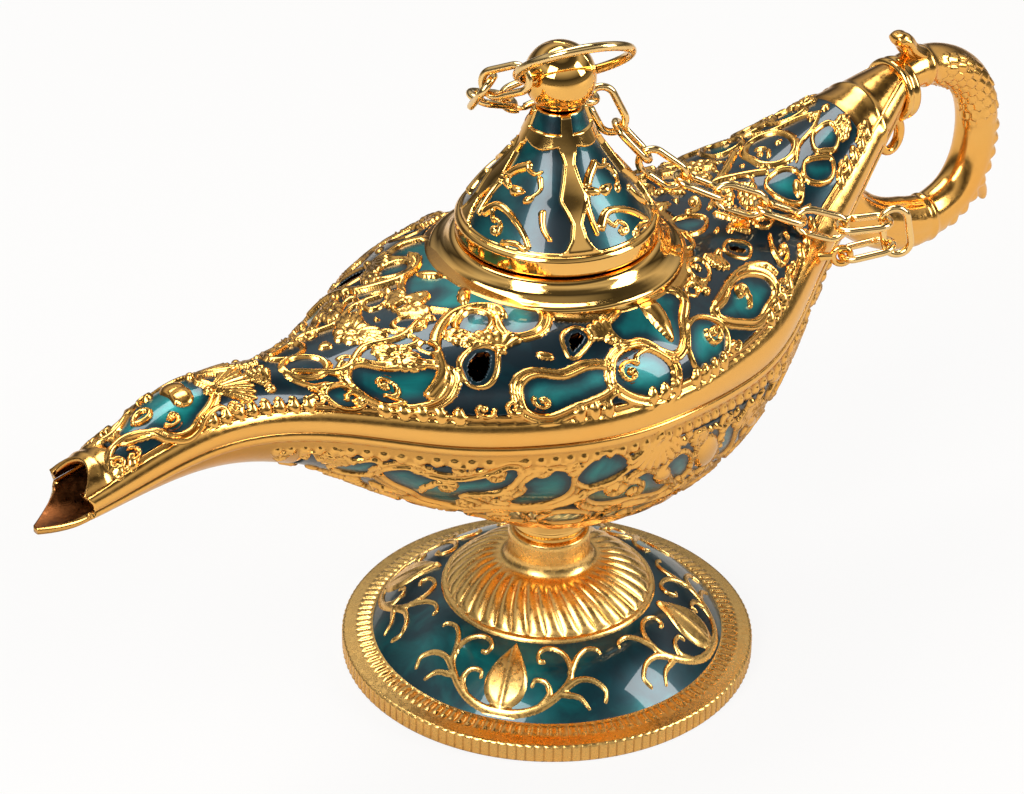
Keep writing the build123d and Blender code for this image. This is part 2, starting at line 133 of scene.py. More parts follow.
def enamel(name):
    """Translucent green-blue enamel over cast metal, under a clear glossy surface, with a painted sheen set
    per vertex.
    """
    material = bpy.data.materials.new(name)
    material.use_nodes = True
    tree = material.node_tree
    shader = tree.nodes["Principled BSDF"]
    shader.inputs["Coat Weight"].default_value = 0.65
    shader.inputs["Coat Roughness"].default_value = 0.03
    shader.inputs["Metallic"].default_value = 0.45
    shader.inputs["Specular IOR Level"].default_value = 0.3
    shader.inputs["Roughness"].default_value = 0.32
    place = tree.nodes.new("ShaderNodeTexCoord")
    cloud = add_node(tree, "ShaderNodeTexNoise", Scale=130.0, Detail=5.0, Roughness=0.55, Distortion=0.6)
    join(tree, place, "Object", cloud, "Vector")
    # Painted sheen and painted shade: a per-vertex level shifts the enamel lighter or darker
    depth = tree.nodes.new("ShaderNodeAttribute")
    depth.attribute_name = "painted_light"
    mix = tree.nodes.new("ShaderNodeMath")
    mix.operation = "MULTIPLY_ADD"
    mix.inputs[1].default_value = 0.75
    join(tree, cloud, "Fac", mix, 0)
    spread = add_node(tree, "ShaderNodeMapRange", From_Min=0.0, From_Max=1.0, To_Min=-0.22, To_Max=0.26)
    join(tree, depth, "Fac", spread, "Value")
    join(tree, spread, "Result", mix, 2)
    ramp = tree.nodes.new("ShaderNodeValToRGB")
    stops = [
        (0.12, (0.0004, 0.010, 0.016)), (0.36, (0.0006, 0.032, 0.042)),
        (0.58, (0.001, 0.10, 0.105)), (0.82, (0.004, 0.24, 0.22)),
    ]
    ramp.color_ramp.elements[0].position, ramp.color_ramp.elements[0].color = stops[0][0], (*stops[0][1], 1)
    ramp.color_ramp.elements[1].position, ramp.color_ramp.elements[1].color = stops[-1][0], (
        *stops[-1][1], 1,
    )
    for position, colour in stops[1:-1]:
        stop = ramp.color_ramp.elements.new(position)
        stop.color = (*colour, 1)
    join(tree, mix, "Value", ramp, "Fac")
    join(tree, ramp, "Color", shader, "Base Color")
    bump = add_node(tree, "ShaderNodeBump", Strength=0.12, Distance=0.0003)
    swell = add_node(tree, "ShaderNodeTexNoise", Scale=170.0, Detail=2.0, Roughness=0.5)
    join(tree, place, "Object", swell, "Vector")
    join(tree, swell, "Fac", bump, "Height")
    join(tree, bump, "Normal", shader, "Normal")
    return material


gold_cast = gold("gold_cast", (0.86, 0.47, 0.12), (0.13, 0.035, 0.007), 0.16, 0.04, 0.08)
gold_plain = gold("gold_polished", (0.88, 0.52, 0.15), (0.25, 0.08, 0.015), 0.08)
gold_foot = gold("gold_satin", (0.88, 0.54, 0.17), (0.30, 0.11, 0.02), 0.24, 0.05, 0.05)
gold_wire = gold("gold_wire", (0.90, 0.62, 0.26), (0.90, 0.62, 0.26), 0.12)
# Inner faces of the shells: a near-black gold as painted shade inside the hollow body
gold_painted_shade = gold("gold_inner_painted_shade", (0.20, 0.07, 0.02), (0.10, 0.03, 0.01), 0.35, 0.1)
teal = enamel("enamel_teal")

# Meshes from grids


def fade(value, start, width):
    """Rises from 0 at the start to 1 over a width."""
    return np.clip((value - start) / width, 0, 1)


def drop(value, end, width):
    """Falls from 1 to 0 over a width before the end."""
    return np.clip((end - value) / width, 0, 1)


def grid_faces(rows, columns, wrap=False):
    """Quads of a grid of rows by columns, with the columns closed into a ring where wrap is true."""
    across = columns if wrap else columns - 1
    i, j = np.meshgrid(np.arange(rows - 1), np.arange(across), indexing="ij")
    k = (j + 1) % columns
    return np.stack(
        [i * columns + j, (i + 1) * columns + j, (i + 1) * columns + k, i * columns + k], -1,
    ).reshape(-1, 4)


def piece_of(name, points, faces, materials, body, painted_light=None, thick=0.0, flip=False):
    """A mesh piece in millimetres that rides on a body. Vertices that no face uses are left out."""
    faces = np.asarray(faces)
    if flip:
        faces = faces[:, ::-1]
    used = np.unique(faces)
    index = np.full(len(points), -1)
    index[used] = np.arange(len(used))
    mesh = bpy.data.meshes.new(name)
    mesh.from_pydata((np.asarray(points)[used] * MM).tolist(), [], index[faces].tolist())
    for material in materials:
        mesh.materials.append(material)
    mesh.polygons.foreach_set("use_smooth", [True] * len(mesh.polygons))
    # Per-vertex painted light level for the shaders: painted shade when low, painted highlight when high;
    # 0.8 where none is given
    layer = mesh.attributes.new("painted_light", "FLOAT", "POINT")
    values = np.full(len(points), 0.8) if painted_light is None else np.asarray(painted_light)
    layer.data.foreach_set("value", values[used].astype(np.float32))
    mesh.update()
    thing = bpy.data.objects.new(name, mesh)
    bpy.context.scene.collection.objects.link(thing)
    if thick:
        solid = thing.modifiers.new("wall", "SOLIDIFY")
        solid.thickness, solid.offset, solid.use_rim = thick * MM, -1.0, True
        if len(materials) > 1:
            solid.material_offset = 1
    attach(thing, body)
    return thing


def smooth_line(points, closed=False, steps=6):
    """Catmull-Rom curve through points."""
    p = np.asarray(points, float)
    n = len(p)
    out = []
    for i in range(n if closed else n - 1):
        if closed:
            a, b, c, d = p[(i - 1) % n], p[i], p[(i + 1) % n], p[(i + 2) % n]
        else:
            a, b, c, d = p[max(i - 1, 0)], p[i], p[i + 1], p[min(i + 2, n - 1)]
        for t in np.arange(steps) / steps:
            square, cube = 2 * a - 5 * b + 4 * c - d, 3 * b - a - 3 * c + d
            out.append(0.5 * (2 * b + (c - a) * t + square * t * t + cube * t**3))
    if not closed:
        out.append(p[-1])
    return np.array(out)


class Relief:
    """Heights in millimetres over a surface with two coordinates, with the enamel cells marked."""

    def __init__(self, u, s, base):
        self.u, self.s, self.h = u, s, base.astype(float)
        self.cell = np.full(len(u), 9.0)
        self.hole = np.full(len(u), 9.0)

    def near(self, low, high, margin):
        box = (self.u > low[0] - margin) & (self.u < high[0] + margin)
        return np.nonzero(box & (self.s > low[1] - margin) & (self.s < high[1] + margin))[0]

    def distance(self, line, where, closed):
        """Distance to a line and the share of the way along it; negative inside a closed one."""
        a = line if closed else line[:-1]
        b = np.roll(line, -1, 0) if closed else line[1:]
        q = np.stack([self.u[where], self.s[where]], -1)
        best = np.full(len(where), 1e9)
        along = np.zeros(len(where))
        inside = np.zeros(len(where), bool)
        for k in range(len(a)):
            d = b[k] - a[k]
            t = np.clip(((q - a[k]) @ d) / max(d @ d, 1e-9), 0, 1)
            r = np.hypot(*(q - a[k] - t[:, None] * d).T)
            closer = r < best
            best[closer], along[closer] = r[closer], (k + t[closer]) / len(a)
            if closed:
                cross = (a[k][1] > q[:, 1]) != (b[k][1] > q[:, 1])
                slope = a[k][0] + (q[:, 1] - a[k][1]) * d[0] / (d[1] if abs(d[1]) > 1e-9 else 1e-9)
                inside ^= cross & (q[:, 0] < slope)
        return (np.where(inside, -best, best), along) if closed else (best, along)

    def patch(self, points, rim=0.55, depth=0.55):
        """A recess for enamel, with a double raised rim."""
        line = smooth_line(points, True)
        where = self.near(line.min(0), line.max(0), 2.4)
        d, _ = self.distance(line, where, True)
        inside = fade(d, -0.30, 0.45)
        floor = -depth * (1 - inside * inside * (3 - 2 * inside))
        ridge = rim * np.exp(-(((d - 0.55) / 0.42) ** 2)) + rim * 0.55 * np.exp(-(((d - 1.65) / 0.38) ** 2))
        groove = -0.25 * np.exp(-(((d - 1.12) / 0.25) ** 2))
        h = self.h[where]
        h = np.where(d < 0.1, floor, np.maximum(h, 0) * fade(d, 0.1, 1.2) + ridge + groove)
        wide = 2.1 if max(np.ptp(line, axis=0)) > 9.5 else 1.15
        self.h[where] = np.where(d < wide, h, self.h[where])
        self.cell[where] = np.minimum(self.cell[where], d)

    def pierce(self, points, depth=1.5):
        """A pierced opening with a rounded lip."""
        line = smooth_line(points, True)
        where = self.near(line.min(0), line.max(0), 1.6)
        d, _ = self.distance(line, where, True)
        lip = 0.40 * np.exp(-(((d - 0.45) / 0.4) ** 2))
        fall = np.clip(-d / 0.5, 0, 1)
        self.h[where] = np.where(
            d < 0, -depth * fall,
            np.where(d < 1.5, self.h[where] * np.clip(d / 1.0, 0, 1) + lip, self.h[where]),
        )
        self.hole[where] = np.minimum(self.hole[where], d)

    def stroke(self, points, width=1.1, height=0.7, base=-0.25, taper=0.5, steps=6):
        """A raised vine with a round back that thins towards its end."""
        line = smooth_line(points, False, steps)
        where = self.near(line.min(0), line.max(0), width)
        d, along = self.distance(line, where, False)
        half = width / 2 * (1 - taper * along)
        q = d / half
        top = base + (height - base) * np.sqrt(np.clip(1 - q * q, 0, 1))
        self.h[where] = np.where(q < 1, np.maximum(self.h[where], top), self.h[where])

    def spiral(self, u, s, radius, start, turns, width=1.0, height=0.75, lead=()):
        """A scroll that winds in to its eye, with an optional lead-in line."""
        points = list(lead)
        n = max(6, int(abs(turns) * 12))
        for k in range(n + 1):
            share = k / n
            a = math.radians(start + 360 * turns * share)
            r = radius * (1 - 0.82 * share)
            points.append((u + r * math.cos(a), s + r * math.sin(a)))
        self.stroke(points, width, height, -0.25, 0.35, 3)
        self.boss(u, s, width * 0.62, width * 0.62, 0, height)

    def boss(self, u, s, half_length, half_width, heading=0, height=0.7, base=0.0, pinch=0.0):
        """A domed oval; pinch draws one end in to a point."""
        size = max(half_length, half_width)
        where = self.near((u, s), (u, s), size * 1.1)
        a = math.radians(heading)
        x = (self.u[where] - u) * math.cos(a) + (self.s[where] - s) * math.sin(a)
        y = (self.s[where] - s) * math.cos(a) - (self.u[where] - u) * math.sin(a)
        y = y / np.clip(1 + pinch * x / half_length, 0.15, 3)
        q = (x / half_length) ** 2 + (y / half_width) ** 2
        top = base + (height - base) * np.sqrt(np.clip(1 - q, 0, 1))
        self.h[where] = np.where(q < 1, top, self.h[where])

    def bowl(self, u, s, half_length, half_width, heading=0, depth=0.7):
        """A recessed oval with a raised rim."""
        size = max(half_length, half_width) + 1.2
        where = self.near((u, s), (u, s), size)
        a = math.radians(heading)
        x = (self.u[where] - u) * math.cos(a) + (self.s[where] - s) * math.sin(a)
        y = (self.s[where] - s) * math.cos(a) - (self.u[where] - u) * math.sin(a)
        q = np.sqrt((x / half_length) ** 2 + (y / half_width) ** 2)
        rim = 0.55 * np.exp(-(((q - 1.12) / 0.13) ** 2))
        self.h[where] = np.where(
            q < 1, -depth * np.sqrt(np.clip(1 - q * q, 0, 1)) + rim,
            np.where(q < 1.4, np.maximum(rim, self.h[where] * 0.3), self.h[where]),
        )

    def fan(self, u, s, radius, start, sweep, ribs, height=0.75, eye=0.9):
        """A shell: ribs that spread from an eye, with a scalloped edge."""
        where = self.near((u, s), (u, s), radius * 1.05)
        x, y = self.u[where] - u, self.s[where] - s
        r = np.hypot(x, y)
        a = (np.degrees(np.arctan2(y, x)) - start) % 360
        part = (a / sweep * ribs) % 1.0
        edge = radius * (0.88 + 0.12 * np.sin(np.pi * part))
        fold = np.sqrt(np.clip(1 - (2 * part - 1) ** 2, 0, 1))
        swell = np.clip(r / radius, 0.25, 1) ** 0.6
        top = height * (0.30 + 0.70 * fold) * swell * np.clip((edge - r) / 0.35, 0, 1)
        hit = (a <= sweep) & (r < edge)
        self.h[where] = np.where(hit, np.maximum(top, 0.02), self.h[where])
        self.boss(u, s, eye, eye, 0, height + 0.1)

    def flower(self, u, s, radius, petals, height=0.7):
        """A rosette with a round eye."""
        where = self.near((u, s), (u, s), radius * 1.02)
        x, y = self.u[where] - u, self.s[where] - s
        r, a = np.hypot(x, y), np.arctan2(y, x)
        part = (a / (2 * np.pi) * petals) % 1.0
        fold = np.sqrt(np.clip(1 - (2 * part - 1) ** 2, 0, 1))
        edge = radius * (0.80 + 0.20 * fold)
        bulge = np.sin(np.pi * np.clip((r / radius - 0.18) / 0.85, 0, 1)) ** 0.6
        top = height * (0.25 + 0.75 * fold) * bulge
        self.h[where] = np.where(r < edge, np.maximum(top, 0.0), self.h[where])
        self.boss(u, s, radius * 0.26, radius * 0.26, 0, height)

    def beads(self, points, spacing=1.7, radius=0.6, height=0.6, long=1.0, turn=90.0):
        """A row of beads or drops along a line."""
        line = smooth_line(points)
        run = np.concatenate([[0], np.cumsum(np.hypot(*np.diff(line, axis=0).T))])
        for k in np.arange(spacing / 2, run[-1], spacing):
            u, s = np.interp(k, run, line[:, 0]), np.interp(k, run, line[:, 1])
            self.boss(u, s, radius * long, radius, turn, height)

    def scrolls(self, count, low, high):
        """Small scrolls over ground that nothing else covers."""
        for _ in range(count):
            u, s = rng.uniform(low[0], high[0]), rng.uniform(low[1], high[1])
            size = rng.uniform(1.6, 2.6)
            where = self.near((u, s), (u, s), size)
            if len(where) and self.h[where].max() < -0.3:
                start = rng.uniform(0, 360)
                side = rng.choice((-1, 1))
                tail = [(
                    u + size * k * math.cos(math.radians(start - side * 50 * (k - 1))),
                    s + size * k * math.sin(math.radians(start - side * 50 * (k - 1))),
                ) for k in (1.9, 1.4)]
                self.spiral(u, s, size, start, 1.1 * side, 1.15, 0.65, tail)

    def filler(self, count, low, high, avoid=1.2):
        """Small leaves and grains over ground that nothing else covers."""
        for _ in range(count):
            u, s = rng.uniform(low[0], high[0]), rng.uniform(low[1], high[1])
            size = rng.uniform(1.0, 1.9)
            where = self.near((u, s), (u, s), size)
            if len(where) == 0 or self.h[where].max() > -0.3:
                continue
            if min(self.cell[where].min(), self.hole[where].min()) < avoid:
                continue
            self.boss(u, s, size, size * rng.uniform(0.4, 0.7), rng.uniform(0, 180), rng.uniform(0.35, 0.6))


# The body's form

SPOUT, TAIL, HALF, SEAM, RISE, DEPTH = 110.0, 79.9, 34.5, 66.5, 20.6, 34.8
LIP_HEIGHT, MOUTH_SLOPE = 68.3, 13.3 / 12.0
BEAK_HALF, BEAK_SLOPE = 0.8, 5.0 / 7.0
STATIONS = np.array([
    (-1.020, 0.125, 1.056, 0.243, 0.066, 2.0), (-0.985, 0.157, 1.071, 0.277, 0.090, 2.0),
    (-0.880, 0.183, 1.102, 0.296, 0.124, 2.0), (-0.750, 0.220, 1.149, 0.393, 0.190, 2.0),
    (-0.620, 0.243, 1.134, 0.417, 0.247, 2.0), (-0.490, 0.360, 1.081, 0.515, 0.348, 2.1),
    (-0.360, 0.620, 1.032, 0.750, 0.540, 2.2), (-0.235, 0.852, 1.015, 0.870, 0.733, 2.4),
    (-0.105, 0.980, 1.003, 0.960, 0.917, 2.5), (0.036, 1.000, 1.000, 0.980, 1.000, 2.5),
    (0.210, 0.925, 0.985, 0.970, 0.963, 2.5), (0.390, 0.800, 1.004, 0.890, 0.787, 2.2),
    (0.570, 0.590, 1.096, 0.704, 0.532, 2.0), (0.750, 0.397, 1.202, 0.553, 0.345, 2.0),
    (0.890, 0.252, 1.299, 0.403, 0.224, 2.0), (1.000, 0.145, 1.373, 0.262, 0.135, 2.0),
])


def natural_curve(x, y):
    """Natural cubic curve through points."""
    n = len(x)
    h = np.diff(x)
    rows, side = np.eye(n), np.zeros(n)
    for i in range(1, n - 1):
        rows[i, i - 1:i + 2] = h[i - 1], 2 * (h[i - 1] + h[i]), h[i]
        side[i] = 6 * ((y[i + 1] - y[i]) / h[i] - (y[i] - y[i - 1]) / h[i - 1])
    bend = np.linalg.solve(rows, side)

    def at(q):
        q = np.asarray(q, float)
        i = np.clip(np.searchsorted(x, q) - 1, 0, n - 2)
        a, c = (x[i + 1] - q) / h[i], (q - x[i]) / h[i]
        return a * y[i] + c * y[i + 1] + ((a**3 - a) * bend[i] + (c**3 - c) * bend[i + 1]) * h[i] ** 2 / 6
    return at


reach = np.where(STATIONS[:, 0] < 0, STATIONS[:, 0] * SPOUT, STATIONS[:, 0] * TAIL)
half_at, seam_at, rise_at, depth_at, full_at = (
    natural_curve(reach, STATIONS[:, k] * scale) for k, scale in (
        (1, HALF), (2, SEAM), (3, RISE), (4, DEPTH), (5, 1.0),
    )
)


def hull(x, v, upper):
    """Point of the body: v is 0 at the near seam, 1 at the middle and 2 at the far seam."""
    n = full_at(x) if upper else 2.0
    c, s = np.cos(v * np.pi / 2), np.sin(v * np.pi / 2)
    y = -half_at(x) * np.sign(c) * np.abs(c) ** (2 / n)
    lift = rise_at(x) if upper else -depth_at(x)
    return np.stack([x, y, seam_at(x) + lift * np.abs(s) ** (2 / n)], -1)


def hull_grid(rows, columns, upper):
    """Grid over half the body with its points, outward normals and arc lengths from the nearer seam."""
    even = np.linspace(0, 2, columns)
    v = np.repeat(even[None, :], rows, 0)
    start = np.full(columns, -SPOUT - 2.0)
    stop = start + 30.0
    for _ in range(30):
        middle = (start + stop) / 2
        spot = hull(middle, even, upper)
        above = spot[:, 2] > LIP_HEIGHT + (middle + SPOUT) * MOUTH_SLOPE
        beside = np.abs(spot[:, 1]) > BEAK_HALF + (middle + SPOUT) * BEAK_SLOPE
        cut = above | beside
        start, stop = np.where(cut, middle, start), np.where(cut, stop, middle)
    share = np.linspace(0, 1, rows)[:, None]
    x = stop[None, :] * (1 - share) + TAIL * share
    points = hull(x, v, upper)
    du = np.gradient(points, axis=0)
    dv = np.gradient(points, axis=1)
    normal = np.cross(du, dv)
    normal /= np.linalg.norm(normal, axis=-1, keepdims=True) + 1e-12
    middle = np.stack([x, 0 * x, np.broadcast_to(seam_at(x), x.shape)], -1)
    flip = ((points - middle) * normal).sum(-1, keepdims=True) < 0
    normal = np.where(flip, -normal, normal)
    step = np.linalg.norm(np.diff(points, axis=1), axis=-1)
    arc = np.concatenate([np.zeros((rows, 1)), np.cumsum(step, 1)], 1)
    return points, normal, np.minimum(arc, arc[:, -1:] - arc), x


# Relief heights that span the painted shade to painted highlight range
LOWEST, HIGHEST = -0.7, 0.8


def dress(
    name, points, normal, relief, columns, rows, material, level, body, thick, nodes, ground,
    keep=None, flip=False,
):
    """Makes the cast piece and the enamel in its cells from one relief."""
    h = relief.h
    faces = grid_faces(rows, columns)
    gone = relief.hole[faces].max(1) < -0.55
    if keep is not None:
        gone |= ~keep[faces].all(1)
    # Relief height sets the painted light: painted shade in the hollows, painted highlight on the raised
    # parts; inner faces take the painted shade gold
    cast = piece_of(
        name, points + normal * h[:, None], faces[~gone], [material, gold_painted_shade], body,
        (h - LOWEST) / (HIGHEST - LOWEST), thick, flip,
    )
    filled = relief.cell[faces].min(1) < 0.25
    filled |= ground[faces].all(1) & (h[faces].min(1) < level + 0.05)
    filled &= ~gone
    pool = points + normal * level
    # Painted sheen on the enamel: lighter in the middle of each cell, darker against the raised rims and
    # over the open ground
    glow = np.clip(0.5 + 0.5 * np.tanh((-relief.cell - 0.9) / 0.9), 0, 1)
    glass = piece_of(name + "_enamel", pool, faces[filled], [teal], body, glow, 0.3, flip)
    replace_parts(cast, nodes[0])
    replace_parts(glass, nodes[1])
    return cast, glass


def belt_width(x):
    return np.interp(
        x, [-110, -95, -60, -40, -12, 5, 25, 45, 62, 80],
        [2.5, 4.0, 4.6, 5.0, 4.8, 5.0, 6.8, 7.5, 6.0, 4.5],
    )


def upper_shell():
    rows, columns = 560, 270
    points, normal, arc, x = hull_grid(rows, columns, True)
    points, normal, arc, x = points.reshape(-1, 3), normal.reshape(-1, 3), arc.ravel(), x.ravel()
    belt = belt_width(x)
    share = np.clip(arc / belt, 0, 1)
    base = np.where(arc < belt, 0.55 * np.sin(np.pi * share) ** 0.7 + 0.05, 0.0)
    base = np.where(np.abs(arc - belt) < 0.35, -0.15, base)
    axis = np.hypot(points[:, 0], points[:, 1])
    sunk = np.clip((arc - belt - 0.9) / 0.4, 0, 1) * fade(x, -97, 1.5)
    sunk = sunk * drop(x, 67, 1.5) * fade(axis, 24, 0.8)
    ground = sunk > 0.6
    base = np.where(sunk > 0, -0.5 * sunk, base)
    r = Relief(x, arc, base)
    patches = [
        [
            (-93, 11), (-90.5, 9.6), (-88, 8.6), (-86, 6.2), (-83.5, 5.6), (-81, 7.2),
            (-78.6, 8.6), (-77, 10.5), (-78.2, 13.5), (-79.5, 19), (-85, 19), (-91.5, 16),
        ],
        [(-61, 10.8), (-58.5, 9.4), (-55.5, 10.0), (-53, 9.4), (-52, 10.3), (-55, 11.4), (-58.5, 11.2)],
        [(-56.6, 7.6), (-55, 5.8), (-52.6, 6.2), (-52.2, 8.0), (-54.2, 9.0)],
        [
            (-51.5, 11), (-49.4, 13.6), (-45.5, 13.2), (-41.5, 14.6), (-37.8, 14.3), (-38.8, 11.8),
            (-41.5, 9.0), (-45, 7.6), (-48.5, 7.5), (-51, 9),
        ],
        [
            (-28, 8), (-27.4, 11.2), (-24.8, 12.8), (-20.5, 12.0), (-16, 13.0), (-12.9, 12.2),
            (-13.8, 9.4), (-17.5, 8.2), (-20.8, 7.4), (-24.5, 6.2), (-27, 6.6),
        ],
        [
            (-11.8, 10.8), (-10, 13.8), (-6, 14.6), (-2.2, 12.2), (-0.7, 8.6), (-2, 6.3),
            (-5.6, 5.9), (-9, 7.2), (-11.3, 9.2),
        ],
        [
            (5.2, 8), (4.8, 11), (6.4, 14), (9, 15.2), (12, 14), (14, 10.8), (12.4, 7.6),
            (9.2, 7.0), (7, 6.8),
        ],
        [
            (15, 14.6), (18, 15.3), (22, 17.2), (26, 16.6), (29.4, 13.8), (30.2, 10.9), (27, 10.4),
            (23.6, 9.9), (20, 11.4), (16.4, 13.2),
        ],
        [
            (-7.2, 17), (-7.6, 20), (-4.6, 21.8), (-1.6, 24.6), (1.8, 26.4), (4.2, 25),
            (7.2, 22.4), (8.2, 20), (5.4, 17), (3.2, 13.2), (1.2, 12), (-0.8, 13.2), (-3.8, 16.3),
        ],
        [
            (-31.5, 33.5), (-27.5, 38), (-24.8, 43), (-21, 44), (-20.6, 37), (-19, 32),
            (-16, 29.6), (-17.6, 25.5), (-20.5, 22.8), (-24, 22.8), (-22.8, 28.5), (-26, 30.2),
            (-29.5, 30.8),
        ],
        [(-30.5, 22.8), (-27.2, 24), (-24.8, 27.4), (-26.8, 28.6), (-30, 25.4)],
        [(44, 21.6), (48, 19.8), (49.8, 16.4), (47.2, 13.6), (44.6, 17.2)],
        [(51.4, 14.2), (53, 15.6), (55.8, 13.2), (57.2, 11.2), (55.8, 9.8), (53.2, 11.4)],
        [(56.8, 15.4), (58.4, 16.8), (61.6, 15.2), (61.8, 12.8), (59.8, 12), (58, 13.8)],
        [(56.4, 25.2), (59.4, 25.6), (62, 23), (60.2, 21.6), (57.4, 22.8)],
        [(50.4, 33), (54, 33.8), (56.6, 31), (53.4, 29.8), (51.2, 30.8)],
        [(22, 35.6), (25.6, 34.2), (28, 31.2), (25.4, 30.4), (22.4, 32)],
        [(17.6, 37), (21, 33.4), (20.6, 29), (17.8, 31)],
        [(-54, 22.6), (-50.6, 25.6), (-47.8, 24.8), (-51.4, 21.4)],
        [(-44, 21), (-41, 23.6), (-38.4, 21.6), (-41, 19.8)],
        [(-47, 31.5), (-43, 33), (-41, 31), (-45, 29.8)],
        [(-37, 35.5), (-34.5, 38), (-32.5, 37), (-35, 34.2)],
    ]
    for outline in patches:
        r.patch(outline)
    # Scrolls and bosses that stand in and beside the cells
    r.boss(-81.6, 11.8, 2.5, 2.0, 80, 0.75)
    r.spiral(-85.2, 8.6, 1.5, 200, 1.1, 0.8)
    r.spiral(-47.2, 10.4, 1.9, 250, 1.2, 0.9, 0.7, [(-51.5, 8.0), (-48.5, 6.8), (-45.6, 8.0)])
    r.stroke(
        [
            (-41.5, 9.6), (-38, 14), (-36.2, 20), (-33, 25), (-29, 29), (-25, 30.6), (-22.2, 29.4),
            (-22.5, 27),
        ],
        1.7, 0.8, 0.0, 0.3,
    )
    r.spiral(-25.3, 8.4, 1.5, 150, 1.1, 0.8)
    r.spiral(-8.9, 11.0, 2.2, 30, 1.25, 0.9, 0.75, [(-1, 6.5), (-0.6, 10), (-3.5, 13.6), (-6.6, 13.4)])
    r.spiral(11.6, 11.8, 2.1, 150, 1.2, 0.9, 0.75)
    for values in (
        (1.6, 18.6, 5.2, 1.9, 90, 0.95, 0.0, 0.35),
        (-24.6, 34.4, 3.2, 0.9, 60, 0.7),
        (48.0, 15.2, 1.6, 1.1, 60, 0.7),
    ):
        r.boss(*values)
    for u, s, size, petals in (
        (-45.5, 24, 4.6, 14), (-42.6, 16.8, 3.3, 12), (39.5, 25, 3.0, 10), (63.5, 12.0, 2.3, 9),
        (-31.5, 22, 2.4, 9), (36, 30, 2.6, 9), (45.5, 36, 3.0, 10), (62, 20.5, 2.2, 9),
        (-38, 40, 3.4, 11),
    ):
        r.flower(u, s, size, petals)
    for values in (
        (-77, 10.6, 8.5, -38, 76, 9, 0.8),
        (-27.6, 18.6, 5.0, 20, 130, 7, 0.7),
        (-9.5, 17.6, 4.4, 60, 110, 5, 0.6),
        (15, 19.2, 4.2, 40, 120, 6, 0.6),
        (-66, 8.6, 5.0, 60, 80, 5, 0.7),
        (30.5, 25.5, 5.4, -60, 80, 6, 0.7),
        (-57, 17, 4.5, 30, 110, 6, 0.6),
        (24, 24, 4.0, 150, 120, 6, 0.6),
        (-33, 28, 4.2, 60, 100, 6, 0.6),
    ):
        r.fan(*values)
    for values in (
        (-57.4, 13.4, 3.6, 2.2, 25),
        (50.8, 24.2, 4.8, 2.9, -50),
        (17.2, 23.6, 2.3, 2.0, 60),
        (-36.5, 26.5, 2.6, 1.5, 40),
        (38, 20, 2.4, 1.5, -50),
    ):
        r.bowl(*values)
    for outline in (
        [(-35, 12.4), (-34.4, 16), (-31, 19.2), (-28.6, 18.6), (-30.6, 14.4), (-33, 12)],
        [(-17.6, 16.2), (-16.4, 20.2), (-13.4, 21.4), (-12.8, 19), (-15.6, 16.8)],
        [(26, 23.4), (28, 24), (31, 20.4), (29.6, 19.2), (27.2, 21)],
        [(-38.4, 19.4), (-37.2, 20.6), (-36.6, 19.2), (-37.6, 18.4)],
        [(-51, 15), (-49.6, 16), (-48.4, 15.2), (-49.6, 14.4)],
        [(-39.5, 33.2), (-37.5, 34.4), (-36, 33.6), (-38, 32.4)],
        [(40.2, 29.2), (41.6, 28.6), (42.6, 25.8), (41.6, 26)],
        [(11.2, 20.6), (12.4, 21.6), (13.2, 20.6), (12.2, 19.8)],
    ):
        r.pierce(outline)
    # Drops and scallops that hang over the belt's edge
    for low, high in (
        (-98, -94), (-80, -58), (-50, -36), (-21, -14), (-7, 1.5), (3, 14), (26, 36), (40, 48),
        (56, 70),
    ):
        line = [(u, float(belt_width(u)) + 0.9) for u in np.linspace(low, high, 6)]
        r.beads(line, 2.6, 0.95, 0.7, 1.8, 82)
    for u in (-96.5, -93.5, -74, -59, -52.5, -34.5, -29.8, 15.5, 32.5, 36.5, 59, 66):
        s = float(belt_width(u)) + 2.2
        r.spiral(u, s, 1.5, rng.choice((0, 90, 180)), rng.choice((-1.1, 1.1)), 0.8, 0.65)
    for values in (
        (
            [
                (-98, 6), (-96.5, 9), (-93, 10), (-89.5, 8.4), (-87.5, 5.4), (-84.5, 3.6),
                (-82, 4.2), (-79.6, 6.2), (-76.6, 7.0), (-75.6, 5.0),
            ],
            1.2, 0.7, 0.0, 0.1,
        ),
        ([(-60, 12), (-52, 12.6), (-46, 19), (-40, 22), (-35, 27)], 1.0, 0.55, 0.0, 0.1),
        ([(15, 16.5), (22, 18.6), (27, 18.4), (31.4, 15.5), (33, 12)], 1.0, 0.6, 0.0, 0.1),
        ([(31, 30), (34, 24), (39, 19), (43, 14), (48, 11)], 1.1, 0.6, 0.0, 0.1),
        ([(-35, 45), (-29, 38), (-31, 34), (-36, 31)], 1.0, 0.55, 0.0, 0.1),
        ([(33, 37), (38, 33), (43, 27), (46, 23)], 1.1, 0.6, 0.0, 0.1),
        ([(66, 19), (60, 18), (55, 19), (52, 18)], 0.9, 0.5, 0.0, 0.1),
    ):
        r.stroke(*values)
    r.scrolls(420, (-97, 6.5), (67, 50))
    r.filler(2600, (-97, 6.5), (67, 50), 0.4)
    # The plain ends of the spout and the tail, and the seat of the collar
    plain = fade(x, -99, 3) * drop(x, 70, 3)
    seat = np.clip((np.hypot(points[:, 0], points[:, 1]) - 23.0) / 1.2, 0, 1)
    r.h = np.where(
        arc > belt, r.h * plain * seat,
        r.h * np.clip((x + 110) / 4, 0.2, 1) * drop(x, 84, 4),
    )
    r.h += 0.25 * np.exp(-(((x + 99.5) / 0.7) ** 2)) * (arc > belt)
    r.h += 0.30 * np.exp(-(((x - 71.5) / 0.7) ** 2))
    keep = np.hypot(points[:, 0], points[:, 1]) > 16.6
    dress(
        "upper_shell_cast", points, normal, r, columns, rows, gold_cast, -0.16, "lamp",
        1.2, ("upper_shell", "upper_enamel"), ground, keep=keep,
    )


